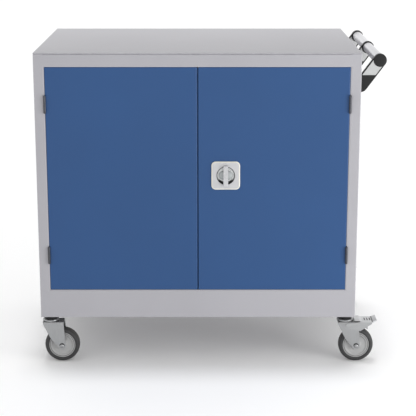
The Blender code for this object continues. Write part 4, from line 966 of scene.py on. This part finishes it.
class CUPBOARD_OT_handle(bpy.types.Operator):
    """Make the push handle's tube and end caps and finish its arms"""

    bl_idname = "cupboard.handle"
    bl_label = "Push handle"

    def execute(self, context):
        finishes, size = context.scene.cupboard_finishes, context.scene.cupboard_handle
        black = moulded_plastic("handle_plastic", finishes.black_plastic, ior=1.36)
        metal = drawn_aluminium("handle_aluminium", finishes.aluminium, "Y")
        inlay = drawn_aluminium("inlay_aluminium", finishes.inlay, "Z")
        low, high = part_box("handle_tube")
        x, _, z = middle_of("handle_tube")
        centre, outer = (x, 0.0, z), half_of("handle_tube")[0]
        inner, radius = outer - size.tube_wall, half_of("handle_cap_front")[0]
        profile = ring_of(inner, outer, low.y, high.y)
        piece = body_of("handle_pipe", profile, 0.0004, centre, "Y", 18, 4, True)
        dressed(piece, metal, "carcass", "aluminium", "handle_tube")
        for end, outward in (("front", -1), ("rear", 1)):
            low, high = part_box("handle_cap_" + end)
            face, plug = (low.y, high.y) if outward < 0 else (high.y, low.y)
            edge, flange = face - outward * size.cap_dome, face - outward * size.cap_flange
            bore = inner - size.plug_fit
            profile = [
                (0, face), (radius * 0.55, face), (radius, edge), (radius, flange),
                (bore, flange), (bore, plug), (0, plug),
            ]
            ease = [0, 0.004, size.cap_edge, 0.0003, 0.0002, 0.0005, 0]
            piece = body_of("handle_cap_face_" + end, profile, ease, centre, "Y", 18, 6)
            dressed(piece, black, "carcass", "black_plastic", "handle_cap_" + end)
        for place in ("front", "middle", "rear"):
            coat_node("handle_bracket_" + place, black)
            coat_node("handle_inlay_" + place, inlay)
            low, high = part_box("handle_bracket_" + place)
            profile = ring_of(outer + size.collar_gap, radius - size.collar_gap, low.y, high.y)
            piece = body_of("handle_collar_" + place, profile, 0.0008, centre, "Y", 18, 5, True)
            dressed(piece, black, "carcass", "black_plastic")
        return {"FINISHED"}


class CUPBOARD_OT_castors(bpy.types.Operator):
    """Make the wheels, axles, swivel heads and foot plates and finish the forks and brake levers"""

    bl_idname = "cupboard.castors"
    bl_label = "Castors"

    def execute(self, context):
        self.finishes, self.size = context.scene.cupboard_finishes, context.scene.cupboard_castor
        self.zinc = zinc_plate("castor_zinc", self.finishes.zinc)
        self.black = moulded_plastic("neck_plastic", self.finishes.black_plastic, ior=1.36)
        for place in PLACES:
            self.tyre(place)
            self.rim(place)
            self.axle(place)
            self.head(place)
            coat_node("castor_fork_" + place, self.zinc)
        for place in BRAKED:
            self.lever(place)
        return {"FINISHED"}

    def tyre(self, place):
        """Tyre: a closed profile turned about the axle, with a flat tread and round shoulders."""
        node, size = "wheel_tyre_" + place, self.size
        centre = middle_of(node)
        _, half, tread = half_of(node)
        seat = half_of("wheel_rim_" + place)[2]
        bead = 0.0006
        side = [
            (tread, 0.0), (tread, half * 0.5), (tread - size.tyre_round, half * 0.83),
            (tread - size.tyre_wall, half), (seat + size.tyre_round, half),
            (seat + bead, half * 0.93), (seat + HAIR_GAP, half * 0.83),
        ]
        profile = both_sides(side, shared=1)
        piece = body_of("tyre_" + place, profile, size.tyre_round, centre, "Y", 24, 4, True)
        shown, dust = self.finishes.tyre_rubber, self.finishes.floor_dust
        rubber = tyre_rubber("tyre_" + place, shown, dust, centre, tread)
        dressed(piece, rubber, "wheel_" + place, "tyre_rubber", node)

    def rim(self, place):
        """Rim: a closed profile turned about the axle, with a lip, ring line, dished web and hub."""
        node, size = "wheel_rim_" + place, self.size
        centre = middle_of("wheel_tyre_" + place)
        _, hub_half, seat = half_of(node)
        lip = half_of("wheel_tyre_" + place)[1] - size.rim_inset
        web, floor = lip - size.web_depth, lip - size.groove_depth
        groove, width, hub = size.groove_radius, size.groove_width / 2, size.hub_radius
        slope_start, slope_end = groove - 0.0035, groove - 0.0065
        boss_foot, boss_side, boss_rise = hub + 0.005, hub + 0.0012, web + 0.0015
        side = [
            (seat, 0.0), (seat, lip), (groove + width, lip), (groove + width * 0.4, floor),
            (groove - width * 0.4, floor), (groove - width, lip), (slope_start, lip), (slope_end, web),
            (boss_foot, web), (boss_side, boss_rise), (hub, hub_half), (size.bore_radius, hub_half),
        ]
        ease = [0, 0.0006, 0.0003, 0.0003, 0.0003, 0.0003, 0.0012, 0.0015, 0.0015, 0.001, 0.001, 0.0003]
        profile = both_sides(side, shared=1)
        piece = body_of("rim_" + place, profile, ease + ease[:0:-1], centre, "Y", 24, 4, True)
        plastic = rim_moulding("rim_plastic_" + place, self.finishes.rim_plastic, centre, groove)
        dressed(piece, plastic, "wheel_" + place, "rim_plastic", node)

    def axle(self, place):
        """Riveted axle: a shaft between two domed heads, each on a washer."""
        node, size = "castor_axle_" + place, self.size
        centre, end = middle_of(node), half_of(node)[1]
        shaft, seat = size.axle_radius, end - size.head_depth
        dome = [(size.head_radius * share, end - size.head_depth * depth) for share, depth in DOME]
        profile = both_sides(dome + [(shaft, seat)])
        piece = body_of("axle_" + place, profile, 0.0007, centre, "Y", 12, 4)
        dressed(piece, self.zinc, "fork_" + place, "zinc", node)
        # the washers take black as painted shade above the axle
        shown, shade_colour = self.finishes.zinc, self.finishes.black_plastic
        steel = washer_with_painted_shade("washer_steel_" + place, shown, shade_colour, centre)
        bore, outer, back = shaft + HAIR_GAP, size.washer_radius, seat - size.washer_depth
        edge, bevel = seat - size.washer_depth * 0.6, 0.0012
        ring = [(bore, seat), (outer - bevel, seat), (outer, edge), (outer, back), (bore, back)]
        for side, way in (("near", -1), ("far", 1)):
            profile = np.array(ring) * (1, way)
            piece = body_of(f"washer_{side}_{place}", profile, 0.0002, centre, "Y", 12, 4, True)
            dressed(piece, steel, "fork_" + place, "zinc", node)

    def head(self, place):
        """Swivel head: a black cover over the neck, and below it the race with its king pin."""
        node, size = "castor_head_" + place, self.size
        low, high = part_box(node)
        x, y, _ = middle_of(node)
        centre, race = (x, y, 0.0), half_of(node)[0]
        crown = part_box("castor_fork_" + place)[1].z
        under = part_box("base_tray")[0].z
        top, neck, flange = crown + size.race_height, size.neck_radius, size.flange_radius
        foot, flare, lip, lid = top + HAIR_GAP, under - 0.004, under - 0.003, under - 0.0004
        cover = [(0, foot), (neck, foot), (neck, flare), (flange, lip), (flange, lid), (0, lid)]
        piece = body_of("castor_cover_" + place, cover, 0.0012, centre, "Z", 14)
        dressed(piece, self.black, "carcass", "black_plastic", node)
        stud, core, pin_head = 0.006, 0.0125, 0.010
        shoulder, seat, pin_seat = under - 0.0005, crown + 0.0003, crown - 0.0036
        upper, lower = (race - 0.003, top - 0.002), (race - 0.0012, crown + 0.0022)
        body = [
            (0, high.z), (stud, high.z), (stud, shoulder), (core, shoulder), (core, top),
            (upper[0], top), (race, upper[1]), (race, lower[1]), (lower[0], seat),
            (stud, seat), (stud, pin_seat), (pin_head, pin_seat), (pin_head, low.z), (0, low.z),
        ]
        piece = body_of("castor_race_" + place, body, 0.0008, centre, "Z", 16, 4)
        dressed(piece, self.zinc, "carcass", "zinc", node)

    def lever(self, place):
        """Brake lever: its finish, and a sheet over its plate and tip that steps up over the fork."""
        node, size = "brake_lever_" + place, self.size
        low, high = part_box(node)
        head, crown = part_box("castor_head_" + place)[1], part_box("castor_fork_" + place)[1]
        centre = middle_of("wheel_tyre_" + place)
        bend, top, step = high.x - size.tip_reach, crown.z + size.lever_rise, crown.z + size.plate_step
        # the levers' tops take the paler zinc as painted light, and their slots and bend take painted
        # shade
        plated = lever_plate(
            "lever_zinc_" + place, self.finishes.zinc, self.finishes.lever_zinc, centre, top,
            size.slot_pitch, bend - centre[0],
        )
        coat_node(node, plated)
        start, ramp, landing, tip = head.x + 0.002, crown.x - 0.0025, crown.x + 0.004, high.x - 0.0012
        path = [(start, step), (ramp, step), (landing, top), (bend, top), (tip, high.z)]
        lap, ease = 0.0004, 0.002
        width, middle = high.y - low.y + lap, middle_of(node)[1]
        piece = bent_sheet("foot_plate_" + place, path, width, size.plate_sheet, middle, ease)
        dressed(piece, plated, "brake_" + place, "zinc")


class CUPBOARD_OT_stage(bpy.types.Operator):
    """Set up the pale floor, the soft light and the camera"""

    bl_idname = "cupboard.stage"
    bl_label = "Stage"

    def execute(self, context):
        stage = context.scene.cupboard_stage
        self.floor(stage)
        context.scene.world = self.sky(stage)
        context.scene.view_settings.view_transform = "Standard"
        self.key_light(stage)
        self.top_light(stage)
        context.scene.camera = self.camera(stage)
        return {"FINISHED"}

    def floor(self, stage):
        """Wide flat floor: a grid of points in a plane just under the wheels, in faintly cloudy paper."""
        span = np.linspace(-stage.floor_reach, stage.floor_reach, 5)
        across, along = np.meshgrid(span, span)
        points = np.stack([across, along, np.full_like(across, -stage.floor_drop)], -1)
        floor = surface("studio_floor", points, ring=False)
        paper = Finish("studio_paper", {"Specular IOR Level": 0.1})
        dark, light = ((stage.floor_tone + shift,) * 3 + (1.0,) for shift in (-0.005, 0.005))
        cloudy = paper.mix(paper.noise(0.8, 2.0), dark, light)
        floor.data.materials.append(paper.done(cloudy, 0.9))
        if floor.data.polygons[0].normal.z < 0:
            floor.data.flip_normals()

    def sky(self, stage):
        """White light from all round, strongest at floor level and weakest overhead."""
        world = bpy.data.worlds.new("studio_light")
        world.use_nodes = True
        tree = world.node_tree
        background = tree.nodes["Background"].inputs
        background["Color"].default_value = (1.0, 1.0, 1.0, 1.0)
        direction = tree.nodes.new("ShaderNodeTexCoord")
        split = tree.nodes.new("ShaderNodeSeparateXYZ")
        fade = tree.nodes.new("ShaderNodeMapRange")
        fade.inputs["To Min"].default_value = stage.horizon
        fade.inputs["To Max"].default_value = stage.zenith
        tree.links.new(direction.outputs["Generated"], split.inputs[0])
        tree.links.new(split.outputs["Z"], fade.inputs["Value"])
        tree.links.new(fade.outputs[0], background["Strength"])
        return world

    def key_light(self, stage):
        """A square soft light that faces a point."""
        light = bpy.data.lights.new("key_light", "AREA")
        light.energy = stage.key_power
        light.size = stage.key_width
        lamp = linked("key_light", light)
        lamp.location = stage.key_place
        x, y, z = np.subtract(stage.key_aim, stage.key_place)
        lamp.rotation_euler = (math.atan2(math.hypot(x, y), -z), 0.0, math.atan2(y, x) - math.pi / 2)

    def top_light(self, stage):
        """A soft sun overhead."""
        sun = bpy.data.lights.new("top_light", "SUN")
        sun.energy = stage.top_strength
        sun.angle = stage.top_spread
        lamp = linked("top_light", sun)
        lamp.location.z = stage.top_height
        lamp.rotation_euler = (-stage.top_lean, 0.0, 0.0)

    def camera(self, stage):
        """The camera, which faces the doors and looks down."""
        lens = bpy.data.cameras.new("studio_camera")
        lens.lens = stage.lens
        lens.clip_end = stage.view_end
        camera = linked("studio_camera", lens)
        camera.location = stage.camera_place
        camera.rotation_euler = (math.pi / 2 - stage.camera_tilt, 0.0, 0.0)
        return camera


class CUPBOARD_PT_panel(bpy.types.Panel):
    """Sizes, colours and steps of the cupboard"""

    bl_idname = "CUPBOARD_PT_panel"
    bl_label = "Mobile Cupboard"
    bl_space_type = "VIEW_3D"
    bl_region_type = "UI"
    bl_category = "Cupboard"

    def draw(self, context):
        for operator in OPERATORS:
            self.layout.operator(operator.bl_idname)
        for group in GROUPS:
            box = self.layout.box()
            values = getattr(context.scene, group)
            for key in values.__annotations__:
                box.prop(values, key)


GROUPS = {
    "cupboard_finishes": CupboardFinishes,
    "cupboard_trim": CupboardTrim,
    "cupboard_hinge": CupboardHinge,
    "cupboard_lock": CupboardLock,
    "cupboard_handle": CupboardHandle,
    "cupboard_castor": CupboardCastor,
    "cupboard_stage": CupboardStage,
}
OPERATORS = (
    CUPBOARD_OT_cabinet,
    CUPBOARD_OT_doors,
    CUPBOARD_OT_hinges,
    CUPBOARD_OT_fittings,
    CUPBOARD_OT_lock,
    CUPBOARD_OT_handle,
    CUPBOARD_OT_castors,
    CUPBOARD_OT_stage,
)


def register():
    for group in GROUPS.values():
        bpy.utils.register_class(group)
    for name, group in GROUPS.items():
        setattr(bpy.types.Scene, name, PointerProperty(type=group))
    for operator in OPERATORS:
        bpy.utils.register_class(operator)
    bpy.utils.register_class(CUPBOARD_PT_panel)


def unregister():
    bpy.utils.unregister_class(CUPBOARD_PT_panel)
    for operator in reversed(OPERATORS):
        bpy.utils.unregister_class(operator)
    for name in GROUPS:
        delattr(bpy.types.Scene, name)
    for group in reversed(list(GROUPS.values())):
        bpy.utils.unregister_class(group)


def main():
    register()
    bpy.ops.cupboard.cabinet()
    bpy.ops.cupboard.doors()
    bpy.ops.cupboard.hinges()
    bpy.ops.cupboard.fittings()
    bpy.ops.cupboard.lock()
    bpy.ops.cupboard.handle()
    bpy.ops.cupboard.castors()
    bpy.ops.cupboard.stage()


if __name__ == "__main__":
    main()
